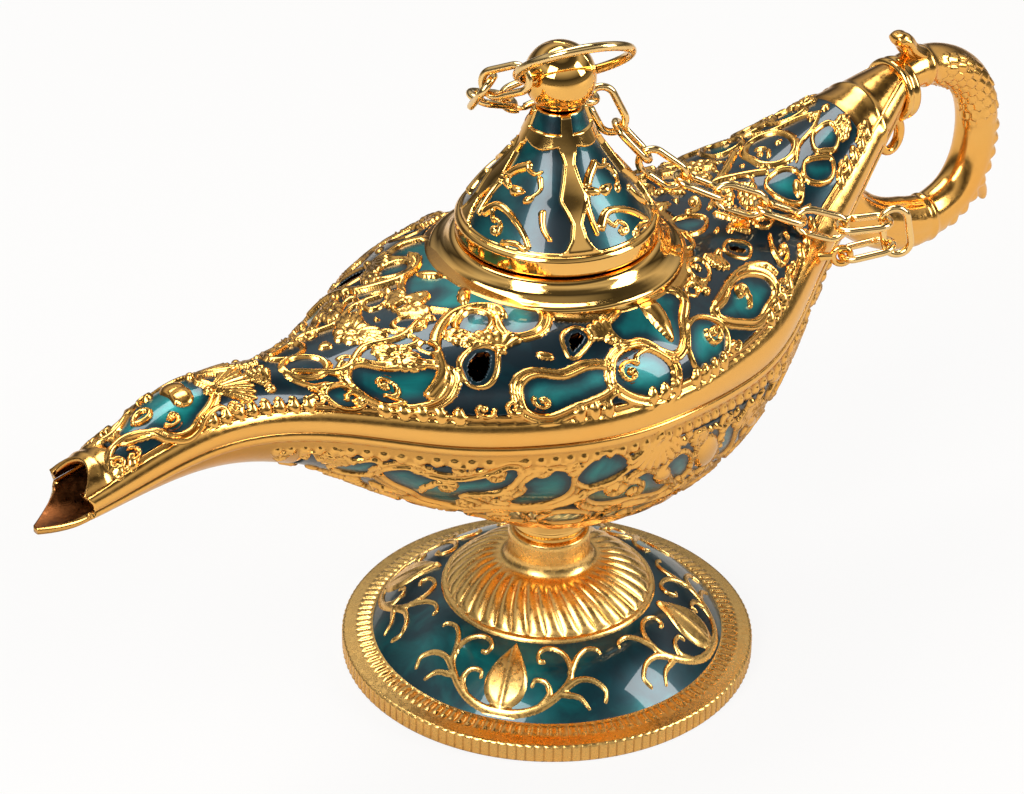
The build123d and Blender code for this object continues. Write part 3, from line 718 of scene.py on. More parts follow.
def lower_shell():
    rows, columns = 460, 230
    points, normal, arc, x = hull_grid(rows, columns, False)
    points, normal, arc, x = points.reshape(-1, 3), normal.reshape(-1, 3), arc.ravel(), x.ravel()
    base = np.where(arc < 1.9, 0.30 * np.sin(np.pi * np.clip(arc / 1.9, 0, 1)), 0.0)
    sunk = fade(arc, 4.3, 0.4) * fade(x, -62, 1.5) * drop(x, 52, 1.5)
    sunk = sunk * np.clip((np.hypot(points[:, 0], points[:, 1]) - 25.5) / 0.6, 0, 1)
    ground = sunk > 0.6
    base = np.where(sunk > 0, -0.5 * sunk, base)
    r = Relief(x, arc, base)
    patches = [
        [(-55.5, 9.6), (-53.5, 11.4), (-50.4, 10.2), (-49.6, 7), (-50.8, 5.6), (-53, 7)],
        [
            (-48.4, 8.4), (-46, 12), (-42.6, 14.4), (-40, 17.4), (-36, 18.6), (-32.6, 17.6),
            (-34, 15.6), (-36.4, 14), (-35.6, 12), (-33.2, 11.4), (-30.4, 9.2), (-29.6, 6.2),
            (-31, 4.8), (-34, 6.6), (-38, 8.2), (-42, 8.0), (-45.5, 6.4),
        ],
        [
            (-27.4, 16), (-23.4, 15.2), (-20.4, 12.4), (-20.6, 8), (-23, 5.8), (-26, 6.2),
            (-28, 8.6), (-27.2, 11), (-28.6, 13.8),
        ],
        [(-19.4, 8.2), (-17, 10.4), (-13, 9.2), (-10.2, 7.4), (-12, 4.6), (-15, 3.4), (-18, 5)],
        [
            (-16, 14.4), (-12.6, 17), (-6, 17.6), (0, 19.4), (1.2, 17.2), (-1.8, 15.6), (-3, 13),
            (-6, 10.8), (-9, 12.2), (-10, 14.2), (-12.8, 12.6), (-15.2, 12.6),
        ],
        [(-1, 11), (1.6, 14.8), (4, 17.6), (5.6, 15), (4.2, 11), (1.4, 9.2)],
        [(14, 8.2), (13, 12), (15, 16.2), (18, 16.6), (17.6, 12), (16, 8.4)],
        [(27.5, 8), (30.6, 11.6), (34, 9), (31.4, 6.6)],
        [(-31, 24), (-29, 20), (-25, 19.5), (-24, 23), (-22, 27), (-28, 27)],
        [(-19, 20), (-14, 21.5), (-13, 25), (-17, 27), (-20, 24)],
        [(-9, 22.5), (-3, 22), (3, 24), (0, 27.5), (-7, 27)],
        [(8, 22), (13, 21), (18, 23), (13, 26), (9, 25.5)],
        [(22, 14), (25, 18), (29, 16), (26, 13)],
        [(-40, 22), (-36, 21.5), (-34, 24), (-38, 24.6)],
        [(22, 21.5), (27, 20), (29, 22), (24, 24)],
    ]
    for outline in patches:
        r.patch(outline, 0.5)
    r.stroke(
        [
            (-46, 16.5), (-38, 20.5), (-31, 17), (-25, 17.4), (-19.5, 15), (-17.4, 13.2),
            (-16.8, 16.5), (-12, 19.2), (-6, 20.2), (2, 21.2), (6, 19),
        ],
        1.5, 0.8, 0.0, 0.2,
    )
    r.spiral(-30.2, 12.6, 2.6, 60, 1.2, 1.0, 0.8)
    r.spiral(-11.6, 12.6, 3.0, 200, 1.3, 1.1, 0.8)
    r.spiral(-34.6, 16.0, 1.6, 0, 1.1, 0.8)
    r.boss(-1.4, 13.2, 2.1, 1.7, 30, 0.8)
    r.spiral(3.6, 18.6, 1.8, 270, 1.1, 0.8)
    r.spiral(-32.6, 6.0, 1.5, 180, -1.1, 0.8)
    for values in (
        (-4.2, 2.6, 7.6, 25, 130, 9, 0.8),
        (20.5, 5.6, 5.8, 20, 130, 8, 0.75),
        (-56, 4.2, 4.2, 30, 120, 6, 0.6),
        (34, 2.8, 5.0, 20, 130, 7, 0.7),
    ):
        r.fan(*values)
    r.boss(9.6, 12.2, 4.8, 2.9, 70, 0.95)
    line = [(9.6 + 4.2 * math.cos(a) * 0.95, 12.2 + 6.0 * math.sin(a)) for a in np.linspace(0.2, 6.4, 14)]
    r.beads(line, 1.5, 0.62, 0.6)
    r.boss(22.6, 11.4, 2.6, 1.5, 40, 0.8)
    r.boss(28.4, 4.8, 2.2, 1.2, 20, 0.7)
    r.beads([(-68, 4.2), (-60, 4.0), (-45, 3.8), (-34, 3.6)], 2.5, 0.85, 0.6, 1.3, 80)
    r.beads([(-30, 3.4), (-10, 3.3), (12, 3.3), (30, 3.3), (52, 3.2)], 2.4, 0.8, 0.6, 1.3, 80)
    for u in (-66, -61, -57, -44, -38, -26, -21, 3, 13, 40, 46):
        r.spiral(u, 5.4, 1.5, rng.choice((0, 90, 180)), rng.choice((-1.1, 1.1)), 0.8, 0.6)
    for u, s, size in (
        (6, 7.0, 2.2), (-9.4, 19.4, 1.8), (25, 10, 1.8), (38, 8.4, 2.0), (-22, 18.8, 1.6),
        (12, 18.6, 2.2), (-44, 17.5, 1.8),
    ):
        r.flower(u, s, size, 9, 0.6)
    r.scrolls(300, (-66, 3.8), (54, 27))
    r.filler(1600, (-66, 3.8), (54, 27), 0.4)
    # Long leaves that rise from the stub
    angle = np.arctan2(points[:, 1], points[:, 0])
    away = np.hypot(points[:, 0], points[:, 1])
    low = (arc > 26) & (away < 26)
    leaf = np.sqrt(np.clip(1 - (2 * ((angle / (2 * np.pi) * 24) % 1.0) - 1) ** 2, 0, 1))
    r.h = np.where(
        low & (r.cell > 0.4),
        np.maximum(
            r.h * 0.4,
            0.55 * leaf * drop(away, 26, 3) * fade(away, 7.5, 2),
        ),
        r.h,
    )
    plain = fade(x, -70, 3) * drop(x, 60, 4)
    r.h = np.where(arc > 1.9, r.h * plain, r.h * fade(x, -109, 4) * drop(x, 80, 4))
    dress(
        "lower_shell_cast", points, normal, r, columns, rows, gold_cast, -0.16, "lamp",
        1.2, ("lower_shell", "lower_enamel"), ground, flip=True,
    )


# Turned pieces


def turned(profile, count):
    """Grid of a profile turned about Z: points, outward normals, headings in degrees."""
    p = np.asarray(profile, float)
    a = np.arange(count) * 2 * np.pi / count
    points = np.stack([p[:, :1] * np.cos(a), p[:, :1] * np.sin(a), np.repeat(p[:, 1:], count, 1)], -1)
    d = np.gradient(p, axis=0)
    d /= np.linalg.norm(d, axis=1, keepdims=True) + 1e-12
    normal = np.stack(
        [-d[:, 1:] * -1 * np.cos(a), d[:, 1:] * np.sin(a), np.repeat(-d[:, :1], count, 1)], -1,
    )
    return points, normal, np.degrees(a)


def densify(points, step):
    """Points along a line at even steps, with its corners kept."""
    out = []
    for (a, b), (c, d) in zip(points[:-1], points[1:]):
        n = max(1, int(round(math.hypot(c - a, d - b) / step)))
        out += [(a + (c - a) * k / n, b + (d - b) * k / n) for k in range(n)]
    return out + [points[-1]]


def arc_points(a, m, b, n=24):
    """Points on the parabola-like bow through a, m and b."""
    t = np.linspace(0, 1, n + 1)
    a, m, b = np.array(a), np.array(m), np.array(b)
    c = 2 * m - (a + b) / 2
    return [tuple(q) for q in ((1 - t)[
        :, None,
    ] ** 2 * a + 2 * (t * (1 - t))[:, None] * c + t[:, None] ** 2 * b)]


def foot():
    count = 1008
    band = arc_points((32.8, 4.5), (26.35, 10.4), (19.9, 13.3), 60)
    dome = arc_points((19.0, 13.7), (14.1, 17.9), (8.9, 19.5), 34)
    stem = [(8.3, 20.0), (7.8, 20.9), (7.6, 21.6), (7.6, 25.4), (7.3, 26.1), (4.7, 26.1), (4.6, 25.6)]
    profile = (
        [(0.05, 0.0), (5.9, 0.0), (6.0, 0.1), (6.0, 15.4), (19.3, 10.4), (34.5, 1.4), (34.5, 0.0)]
        + densify(
            [
                (34.5, 0.0), (38.2, 0.0), (38.5, 0.3), (38.5, 3.1), (38.2, 3.5), (35.8, 3.85),
                (35.5, 3.8), (33.0, 4.25), (32.8, 4.5),
            ],
            0.35,
        )[1:]
        + band[1:] + [(19.75, 13.75), (19.3, 13.95)] + dome + densify(stem, 0.5)
    )
    p = np.array(profile)
    points, normal, heading = turned(profile, count)
    rows = len(p)
    radius, height = np.repeat(p[:, :1], count, 1), np.repeat(p[:, 1:], count, 1)
    a = np.repeat(heading[None, :], rows, 0)
    h = np.zeros_like(a)
    index = np.repeat(np.arange(rows)[:, None], count, 1)
    top_side = index > 7
    knurl = fade(radius, 38.0, 0.3) * (height > 0.25) * (height < 3.25) * top_side
    h += knurl * 0.28 * (np.sqrt(np.abs(np.sin(np.radians(a * 144 / 2)))) - 1.0)
    tooth = fade(radius, 33.1, 0.4) * drop(radius, 35.7, 0.3) * top_side * (height > 3.0)
    h += tooth * (0.42 * np.sqrt(np.abs(np.sin(np.radians(a * 126 / 2)))) - 0.12)
    in_dome = (radius < 19.2) & (radius > 9.4) & top_side & (height > 13.5)
    slant = a + (19.0 - radius) * 1.3
    flute = np.abs(np.sin(np.radians(slant * 36 / 2)))
    h += in_dome * drop(radius, 19.1, 0.8) * fade(radius, 9.6, 2.6) * (0.62 * np.sqrt(flute) - 0.3)
    in_band = (index > 7) & (radius < 32.8) & (radius > 19.9) & (height > 4.4) & (height < 13.35)
    t = drop(radius, 32.8, 12.9)
    # The band's pattern is drawn in millimetres along and across the band, four times round
    local = (a - 35.0 + 45.0) % 90.0 - 45.0
    across = t * 16.2
    along = np.radians(local) * 26.5
    r = Relief(along.ravel(), across.ravel(), np.where(in_band.ravel(), -0.60, h.ravel()))
    unit = 26.5 * math.pi / 180
    for side in (-1, 1):
        def at(*pairs):
            return [(side * d * unit, v * 16.2) for d, v in pairs]
        r.stroke(
            at(
                (0, 0.07), (6, 0.08), (13, 0.15), (20, 0.30), (25, 0.50), (24.5, 0.74), (20, 0.88),
                (15, 0.90), (11.5, 0.82), (12, 0.70), (14, 0.69),
            ),
            1.75, 0.45, -0.6, 0.45,
        )
        r.stroke(at((21, 0.33), (27, 0.44), (33, 0.42), (37, 0.29), (36, 0.17)), 1.6, 0.42, -0.6, 0.5)
        r.stroke(at((25, 0.54), (29, 0.74), (34, 0.84), (39, 0.81), (40, 0.74)), 1.6, 0.42, -0.6, 0.5)
        r.stroke(at((13, 0.15), (16.5, 0.30), (15, 0.43), (11, 0.45), (10, 0.38)), 1.5, 0.4, -0.6, 0.5)
        r.stroke(at((20, 0.30), (27, 0.25), (30, 0.12)), 1.5, 0.38, -0.6, 0.6)
    bud = [
        (0, 15.2), (1.9, 12.6), (3.5, 9.0), (3.9, 6.0), (2.9, 3.0), (0, 1.2), (-2.9, 3.0),
        (-3.9, 6.0), (-3.5, 9.0), (-1.9, 12.6),
    ]
    line = smooth_line(bud, True)
    where = r.near(line.min(0), line.max(0), 1.0)
    where = where[in_band.ravel()[where]]
    d, _ = r.distance(line, where, True)
    middle = np.exp(-((r.u[where] / 0.45) ** 2))
    r.h[where] = np.where(
        d < 0,
        np.maximum(r.h[where], -0.6 + 1.15 * np.clip(-d / 0.9, 0, 1) ** 0.5 + 0.22 * middle),
        r.h[where],
    )
    h = np.where(in_band, r.h.reshape(h.shape), h)
    edge = drop(radius, 32.8, 0.4) * fade(radius, 19.9, 0.4)
    h = np.where(in_band, h * edge, h)
    shift = np.where(in_band[..., None], np.array([0, 0, 1.0]), normal)
    placed = (points + shift * h[..., None]).reshape(-1, 3)
    # Painted light from the relief height: painted shade in the recesses, painted highlight on the raised
    # parts
    painted_light = np.where(in_band, (h + 0.6) / 1.0, np.clip(0.75 + h * 1.6, 0, 1))
    cast = piece_of(
        "foot_cast", placed, grid_faces(rows, count, True), [gold_foot], "lamp", painted_light.ravel(),
    )
    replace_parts(cast, "foot")
    pool = [(q[0], q[1] - 0.12) for q in band]
    low = [(q[0], q[1] - 0.85) for q in band[::-1]]
    ring = pool + low + pool[:1]
    q, _, heading = turned(ring, 504)
    radius = np.repeat(np.array(ring)[:, :1], 504, 1)
    # Painted sheen on the enamel band: lighter on two opposite sides of the foot and darker on the other
    # two, most across the middle of the band
    glow = 0.45 + 0.5 * np.sin(np.radians(2 * heading + 40))[
        None, :,
    ] * np.sin((radius - 19.9) / 12.9 * np.pi)
    glass = piece_of(
        "foot_enamel_band", q.reshape(-1, 3), grid_faces(len(ring), 504, True), [teal], "lamp",
        glow.ravel(),
    )
    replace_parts(glass, "foot_enamel")


def lid():
    count = 720
    cone = smooth_line(
        [
            (17.1, 92.3), (14.6, 96.0), (12.8, 98.5), (10.7, 101.0), (8.8, 103.5), (7.3, 105.8),
            (6.5, 107.5), (5.5, 110.0), (4.4, 113.0),
        ],
        False, 14,
    )
    cone = [tuple(q) for q in cone]
    rim = densify(
        [(15.6, 88.4), (17.5, 88.4), (18.1, 89.0), (18.1, 91.6), (17.6, 92.25), (17.1, 92.3)], 0.3,
    )
    inside = [(2.1, 108.0), (14.0, 92.3), (14.0, 85.4), (15.6, 85.4), (15.6, 88.3)]
    cap = [(3.6, 113.0), (2.1, 112.6), (2.1, 108.2)]
    profile = inside + rim + cone[1:] + cap
    p = np.array(profile)
    points, normal, heading = turned(profile, count)
    rows = len(p)
    z = np.repeat(p[:, 1:], count, 1)
    radius = np.repeat(p[:, :1], count, 1)
    a = np.repeat(heading[None, :], rows, 0)
    index = np.repeat(np.arange(rows)[:, None], count, 1)
    first = len(inside) + len(rim) - 1
    on_cone = (index >= first) & (index <= first + len(cone) - 1)
    slope = np.concatenate([[0], np.cumsum(np.hypot(*np.diff(p, axis=0).T))])
    run = np.repeat((slope - slope[first])[:, None], count, 1)
    local = (a + 115.0 + 45.0) % 90.0 - 45.0
    side = np.radians(local) * radius
    # Baluster ribs, wide at the foot, the waist and the neck
    half = np.interp(
        z, [92.3, 93.2, 94.6, 96.8, 98.4, 100.2, 102.6, 105.2, 106.6, 107.6, 110, 113],
        [4.2, 2.7, 1.7, 1.2, 1.9, 2.8, 1.9, 1.2, 1.5, 1.9, 1.3, 1.1],
    )
    d_rib = np.abs(side) - half
    sd = -np.minimum(d_rib, np.where(z < 108.8, 107.4 + 0.5 * np.cos(np.radians(local * 4)) - z, z - 110.2))
    sd = np.maximum(sd, 92.9 - z)
    r = Relief(side.ravel(), run.ravel(), np.zeros(side.size))
    h = np.where(on_cone, fade(sd, -0.1, 0.45) * 0.95 - 0.6, 0.0)
    ridge = 0.35 * np.exp(-(((d_rib + 0.35) / 0.25) ** 2)) * (z < 107) * on_cone
    r.h = (h + ridge).ravel()
    # A leaf scroll in each panel, midway between the ribs
    shift = (a + 115.0) % 90.0 - 45.0
    r.u = (np.radians(shift) * radius).ravel()
    r.stroke(
        [(-1.3, 15.0), (-3.6, 13.4), (-5.6, 11.2), (-7.2, 8.6), (-8.2, 5.6), (-8.6, 3.3)], 2.0,
        0.6, -0.6, 0.5,
    )
    for values in (
        (-4.4, 10.6, 2.0, 1.0, -20, 0.55, -0.6, -0.4),
        (-1.8, 10.2, 1.9, 1.1, 10, 0.6, -0.6, -0.4),
        (0.9, 9.3, 1.3, 0.9, 40, 0.5, -0.6),
    ):
        r.boss(*values)
    r.stroke(
        [(-7.2, 4.3), (-4.8, 6.4), (-2.2, 6.2), (0.2, 4.9), (2.2, 3.2), (3.8, 1.2)], 1.9, 0.6,
        -0.6, 0.4,
    )
    r.spiral(-3.6, 2.6, 1.7, 130, -1.0, 1.0, 0.5, [(-5.6, 5.4)])
    for values in (
        ([(-1.4, 14.6), (0.4, 13.9), (1.6, 14.5)], 1.3, 0.5, -0.6, 0.4),
        ([(1.7, 13.2), (2.4, 11.4), (1.4, 9.9)], 1.4, 0.5, -0.6, 0.5),
        ([(4.2, 7.4), (5.0, 5.2), (6.2, 3.6), (7.2, 2.8)], 1.6, 0.55, -0.6, 0.5),
        ([(-1.2, 0.9), (1.2, 1.4), (3.2, 0.7)], 1.3, 0.5, -0.6, 0.2),
    ):
        r.stroke(*values)
    h = np.where(on_cone, r.h.reshape(h.shape), 0.0)
    h *= fade(z, 92.3, 0.6) * drop(z, 113.0, 0.3)
    placed = (points + normal * h[..., None]).reshape(-1, 3)
    # Painted light from the relief height: painted shade in the sunk panels, painted highlight on the ribs
    # and leaves; 0.85 off the cone
    painted_light = np.where(on_cone, (h + 0.5) / 0.8, 0.85)
    cast = piece_of(
        "lid_cast", placed, grid_faces(rows, count, True), [gold_plain], "lid", painted_light.ravel(),
    )
    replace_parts(cast, "lid")
    skin = [(q[0] - 0.13, q[1]) for q in cone[2:-1]]
    back = [(q[0] - 0.7, q[1]) for q in cone[2:-1]][::-1]
    ring = skin + back + skin[:1]
    q, _, heading = turned(ring, 360)
    # Painted sheen on the enamel: lighter and darker four times round, once in each panel
    glow = np.repeat(0.35 + 0.3 * np.sin(np.radians(heading * 4 + 60))[None, :], len(ring), 0)
    glass = piece_of(
        "lid_enamel_skin", q.reshape(-1, 3), grid_faces(len(ring), 360, True), [teal], "lid",
        glow.ravel(),
    )
    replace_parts(glass, "lid_enamel")


def collar():
    profile = densify([
        (15.9, 88.2), (15.9, 84.4), (22.5, 82.4), (22.8, 82.7), (22.8, 84.7), (
            22.45, 85.15,
        ), (21.4, 85.5), (20.2, 86.2),
        (19.4, 87.1), (18.9, 87.9), (18.4, 88.2), (15.9, 88.2),
    ], 0.4)
    points, _, _ = turned(profile, 360)
    piece = piece_of(
        "collar", points.reshape(-1, 3), grid_faces(len(profile), 360, True), [gold_plain], "lamp",
        None, flip=True,
    )
    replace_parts(piece, "upper_shell")
    stub = densify(
        [
            (4.5, 18.1), (4.5, 26.1), (6.8, 26.1), (6.8, 27.4), (7.1, 27.8), (6.8, 28.2),
            (6.8, 31.8), (7.6, 33.0), (5.0, 33.4), (4.5, 18.1),
        ],
        0.4,
    )
    points, _, _ = turned(stub, 180)
    piece = piece_of(
        "body_stub", points.reshape(-1, 3), grid_faces(len(stub), 180, True), [gold_plain], "lamp",
        None,
    )
    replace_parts(piece, "lower_shell")


# Swept pieces


def swept(path, half_across, half_out, around, height=None):
    """Grid swept along a path in the XZ plane: oval sections, with heights along their normals."""
    path = np.asarray(path, float)
    d = np.gradient(path, axis=0)
    d /= np.linalg.norm(d, axis=1, keepdims=True)
    across = np.array((0.0, 1.0, 0.0))
    out = np.cross(d, across)
    out /= np.linalg.norm(out, axis=1, keepdims=True)
    phi = np.arange(around) * 2 * np.pi / around
    c, s = np.cos(phi), np.sin(phi)
    across_size = np.asarray(half_across)[:, None]
    out_size = np.asarray(half_out)[:, None]
    a = across_size * s
    o = out_size * c
    points = path[:, None, :] + a[..., None] * across + o[..., None] * out[:, None, :]
    normal = (a / (across_size ** 2 + 1e-9))[..., None] * across
    normal = normal + (o / (out_size ** 2 + 1e-9))[..., None] * out[:, None, :]
    normal /= np.linalg.norm(normal, axis=-1, keepdims=True) + 1e-12
    if height is not None:
        points = points + normal * height[..., None]
    return points


def capped(name, points, material, body, painted_light=None):
    """Piece from a swept grid with its two ends closed by a fan."""
    rows, columns = points.shape[:2]
    faces = grid_faces(rows, columns, True)
    flat = points.reshape(-1, 3)
    ends = np.array([points[0].mean(0), points[-1].mean(0)])
    base = rows * columns
    flat = np.concatenate([flat, ends])
    j = np.arange(columns)
    k = (j + 1) % columns
    end = (rows - 1) * columns
    first = np.stack([np.full(columns, base), j, k], -1)
    last = np.stack([np.full(columns, base + 1), end + k, end + j], -1)
    quads = faces.tolist()
    mesh = bpy.data.meshes.new(name)
    mesh.from_pydata((flat * MM).tolist(), [], quads + first.tolist() + last.tolist())
    mesh.materials.append(material)
    mesh.polygons.foreach_set("use_smooth", [True] * len(mesh.polygons))
    # Per-vertex painted light level for the shader: painted shade when low, painted highlight when high;
    # 0.8 where none is given
    layer = mesh.attributes.new("painted_light", "FLOAT", "POINT")
    values = np.full(len(flat), 0.8)
    if painted_light is not None:
        values[:base] = np.asarray(painted_light).ravel()
    layer.data.foreach_set("value", values.astype(np.float32))
    thing = bpy.data.objects.new(name, mesh)
    bpy.context.scene.collection.objects.link(thing)
    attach(thing, body)
    return thing


def handle():
    centre = [
        (79.9, 92.6), (83, 93.7), (88, 94.2), (93, 93.3), (98, 90.7), (102, 86.6), (104.2, 81),
        (104.7, 75), (103.6, 69.2), (100.6, 64.4), (96, 61.6), (90.5, 60.5), (84.5, 61.6),
        (79.2, 63.6), (74.6, 66.6), (71.2, 70.4), (70.2, 74.6),
    ]
    line = smooth_line(centre, False, 22)
    n = len(line)
    share = np.linspace(0, 1, n)
    out = np.interp(share, [0, 0.1, 0.35, 0.6, 0.75, 0.9, 1], [3.4, 4.0, 4.3, 4.7, 5.3, 4.6, 3.6])
    side = np.interp(share, [0, 0.1, 0.5, 0.8, 1], [3.6, 4.1, 4.2, 4.2, 3.2])
    around = 120
    phi = np.degrees(np.arange(around) * 2 * np.pi / around)[None, :] + 0 * share[:, None]
    run = np.concatenate([[0], np.cumsum(np.linalg.norm(np.diff(line, axis=0), axis=1))])[:, None] + 0 * phi
    # Feather scales on the near inner side, teeth on the outer edge, grooves along the lower part
    scale_zone = fade(run, 11, 2) * drop(run, 34, 3) * fade(phi, 175, 12) * drop(phi, 325, 12)
    outward = np.cos(np.radians(phi + 12))
    tooth_zone = fade(run, 33, 2) * drop(run, 56, 2) * fade(outward, 0.55, 0.25)
    teeth = 0.75 * np.abs(np.sin(np.pi * run / 2.6)) - 0.2
    row = run / 2.4
    offset = (np.floor(row) % 2) * 0.5
    col = phi / 360 * 12 + offset
    cx = np.abs((col % 1.0) - 0.5) * 2
    fall = (row % 1.0) - 0.35 * cx * cx
    scales = 0.55 * np.clip(fall % 1.0, 0, 1) ** 0.8 - 0.2 * (cx > 0.9)
    groove_zone = fade(run, 58, 3) * drop(run, 96, 4)
    grooves = 0.35 * np.abs(np.sin(np.radians(phi * 5 / 2 + 20)))
    ring_bands = sum(0.4 * np.exp(-(((run - k) / 0.7) ** 2)) for k in (8.6, 58.0))
    h = scale_zone * scales + tooth_zone * teeth + groove_zone * grooves + ring_bands - 0.25
    line3 = np.stack([line[:, 0], 0 * line[:, 0], line[:, 1]], -1)
    points = swept(line3, side, out, around, height=h)
    # Painted light from the relief height: painted shade in the grooves and hollows, painted highlight on
    # the scales, teeth and bands
    piece = capped("handle_ring", points, gold_cast, "lamp", np.clip(0.95 + h, 0, 1))
    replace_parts(piece, "handle")
    # Thumb-piece: a curled leaf on top
    leaf = smooth_line(
        [
            (80.9, 101.2), (82.4, 101.5), (83.6, 100.6), (84.6, 99.2), (86.2, 97.8), (88.4, 96.6),
            (91.0, 95.6), (94.0, 94.6),
        ],
        False, 10,
    )
    share = np.linspace(0, 1, len(leaf))
    wide = np.interp(share, [0, 0.06, 0.2, 0.4, 0.7, 1], [0.8, 1.9, 2.4, 2.2, 2.4, 2.6])
    deep = np.interp(share, [0, 0.06, 0.2, 0.4, 0.7, 1], [0.5, 1.2, 1.5, 1.5, 1.4, 0.9])
    phi = np.degrees(np.arange(48) * 2 * np.pi / 48)[None, :] + 0 * share[:, None]
    h = 0.28 * np.abs(np.sin(np.radians(phi * 6 / 2))) * np.sin(np.pi * share)[:, None]
    points = swept(np.stack([leaf[:, 0], 0 * leaf[:, 0], leaf[:, 1]], -1), wide, deep, 48, height=h)
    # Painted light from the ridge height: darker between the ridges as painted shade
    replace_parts(capped("thumb_leaf", points, gold_cast, "lamp", np.clip(0.6 + h, 0, 1)), "handle")
    # Spur on the outer side
    spur = smooth_line([(103.0, 66.0), (105.4, 64.2), (107.4, 61.8), (108.4, 59.4)], False, 6)
    share = np.linspace(0, 1, len(spur))
    points = swept(
        np.stack([spur[:, 0], 0 * spur[:, 0], spur[:, 1]], -1), 2.6 * (1 - share) ** 0.6 + 0.25,
        2.2 * (1 - share) ** 0.7 + 0.25, 32,
    )
    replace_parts(capped("handle_spur", points, gold_cast, "lamp"), "handle")
    # Volute between the tail and the ring, on both sides
    for sign in (-1, 1):
        spin = []
        for k in range(31):
            a = math.radians(200 - 15 * k)
            r = 5.2 * (1 - 0.72 * k / 30)
            spin.append((78.6 + r * math.cos(a) * 0.8, sign * 2.6, 83.0 + r * math.sin(a)))
        spin = smooth_line([(s[0], s[2]) for s in spin], False, 2)
        line3 = np.stack([spin[:, 0], np.full(len(spin), sign * 2.5), spin[:, 1]], -1)
        thin = np.linspace(1.2, 0.7, len(spin))
        points = swept(line3, thin * 1.1, thin, 20)
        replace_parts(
            capped("volute_far" if sign > 0 else "volute_near", points, gold_cast, "lamp"),
            "handle",
        )
    # Collar rings where the handle meets the tail
    profile = densify(
        [
            (0.4, 79.95), (5.7, 79.95), (6.2, 80.3), (6.3, 80.9), (5.9, 81.3), (5.9, 81.9),
            (6.2, 82.4), (6.1, 83.0), (5.2, 83.2), (0.4, 83.2),
        ],
        0.3,
    )
    q, _, _ = turned(profile, 96)
    placed = np.stack([q[..., 2], q[..., 0], q[..., 1] + 91.3], -1)
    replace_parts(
        piece_of(
            "tail_collar", placed.reshape(-1, 3), grid_faces(len(profile), 96, True), [gold_plain],
            "lamp", None,
        ),
        "handle",
    )


CHAIN_HEADING = math.radians(-33.0)
CHAIN_WAY = np.array([math.cos(CHAIN_HEADING), math.sin(CHAIN_HEADING), 0.0])
CHAIN_SIDE = np.array([-CHAIN_WAY[1], CHAIN_WAY[0], 0.0])
UP = np.array([0, 0, 1.0])
EYE_CENTRE = CHAIN_SIDE * 8.16 + CHAIN_WAY * 53.2 + UP * 76.3
LINK_ANGLES = (13, 100, 185, 163, 159, 160, 155, 142, 131, 116, 166, 204)
LINK_RADIUS, LINK_STRAIGHT, WIRE_RADIUS, LINK_SEAT = 2.4, 2.35, 0.69, 0.9
LINK_LENGTH = 2 * (LINK_RADIUS + LINK_STRAIGHT)


def chain_eye():
    """Eye on the belt that holds the chain's first link."""
    way, side, centre = CHAIN_WAY, CHAIN_SIDE, EYE_CENTRE
    a = np.linspace(0, 2 * np.pi, 49)[:-1]
    b = np.linspace(0, 2 * np.pi, 17)[:-1]
    ring = 1.58
    wire = 0.66
    points = (
        centre + (ring + wire * np.cos(b))[
            None, :, None,
        ] * (np.cos(a)[:, None, None] * way + np.sin(a)[:, None, None] * np.array([0, 0, 1.0]))
        + (0.6 * np.sin(b))[None, :, None] * side
    )
    points = np.concatenate([points, points[:1]])
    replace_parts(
        piece_of(
            "chain_eye", points.reshape(-1, 3), grid_faces(49, 16, True), [gold_plain], "lamp",
            None,
        ),
        "upper_shell",
    )
    t = np.linspace(0, 1, 12)[:, None]
    path = centre - way * (1.6 + 2.8 * t)
    out = np.cross(way, side)
    phi = np.arange(24) * 2 * np.pi / 24
    width = (0.75 + 0.5 * t**2)
    points = path[
        :, None, :,
    ] + (width * np.cos(phi))[..., None] * side * 0.8 + (width * np.sin(phi))[..., None] * out
    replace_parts(capped("chain_eye_root", points, gold_plain, "lamp"), "upper_shell")


def link(node, near_end, along, facing):
    """One oval link of round wire."""
    along, facing = along / np.linalg.norm(along), facing / np.linalg.norm(facing)
    side = np.cross(facing, along)
    turn = np.radians(np.linspace(-90, 90, 21))
    flat = np.linspace(LINK_STRAIGHT, -LINK_STRAIGHT, 7)[1:-1]
    bow, rise = LINK_RADIUS * np.cos(turn), LINK_RADIUS * np.sin(turn)
    x = np.concatenate([LINK_STRAIGHT + bow, flat, -LINK_STRAIGHT - bow, -flat])
    y = np.concatenate([rise, 0 * flat + LINK_RADIUS, -rise, 0 * flat - LINK_RADIUS])
    x, y = np.append(x, x[0]), np.append(y, y[0])
    dx, dy = np.gradient(x), np.gradient(y)
    dx[0] = dx[-1] = 0.0
    dy[0] = dy[-1] = 1.0
    size = np.hypot(dx, dy)
    out = (dy / size)[:, None] * along - (dx / size)[:, None] * side
    path = near_end + (x + LINK_LENGTH / 2)[:, None] * along + y[:, None] * side
    phi = np.arange(16) * 2 * np.pi / 16
    section = np.cos(phi)[None, :, None] * out[:, None, :] + np.sin(phi)[None, :, None] * facing
    points = path[:, None, :] + WIRE_RADIUS * section
    piece = piece_of(
        node + "_wire", points.reshape(-1, 3), grid_faces(len(x), 16, True), [gold_wire], node,
        None,
    )
    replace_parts(piece, node)


def chain():
    """Twelve links over the body in one upright plane."""
    side, joint = CHAIN_SIDE, EYE_CENTRE
    for k, angle in enumerate(LINK_ANGLES):
        along = CHAIN_WAY * math.cos(math.radians(angle)) + UP * math.sin(math.radians(angle))
        node = f"chain_link_{k + 1:02d}"
        if k % 2:
            link(node, joint - along * LINK_RADIUS, along, side)
            joint = joint + along * 2 * LINK_STRAIGHT
        elif k == 0:
            link(node, joint, along, np.cross(side, along))
            joint = joint + along * (LINK_LENGTH + LINK_SEAT)
        else:
            link(node, joint + along * LINK_SEAT, along, np.cross(side, along))
            joint = joint + along * (LINK_LENGTH + 2 * LINK_SEAT)


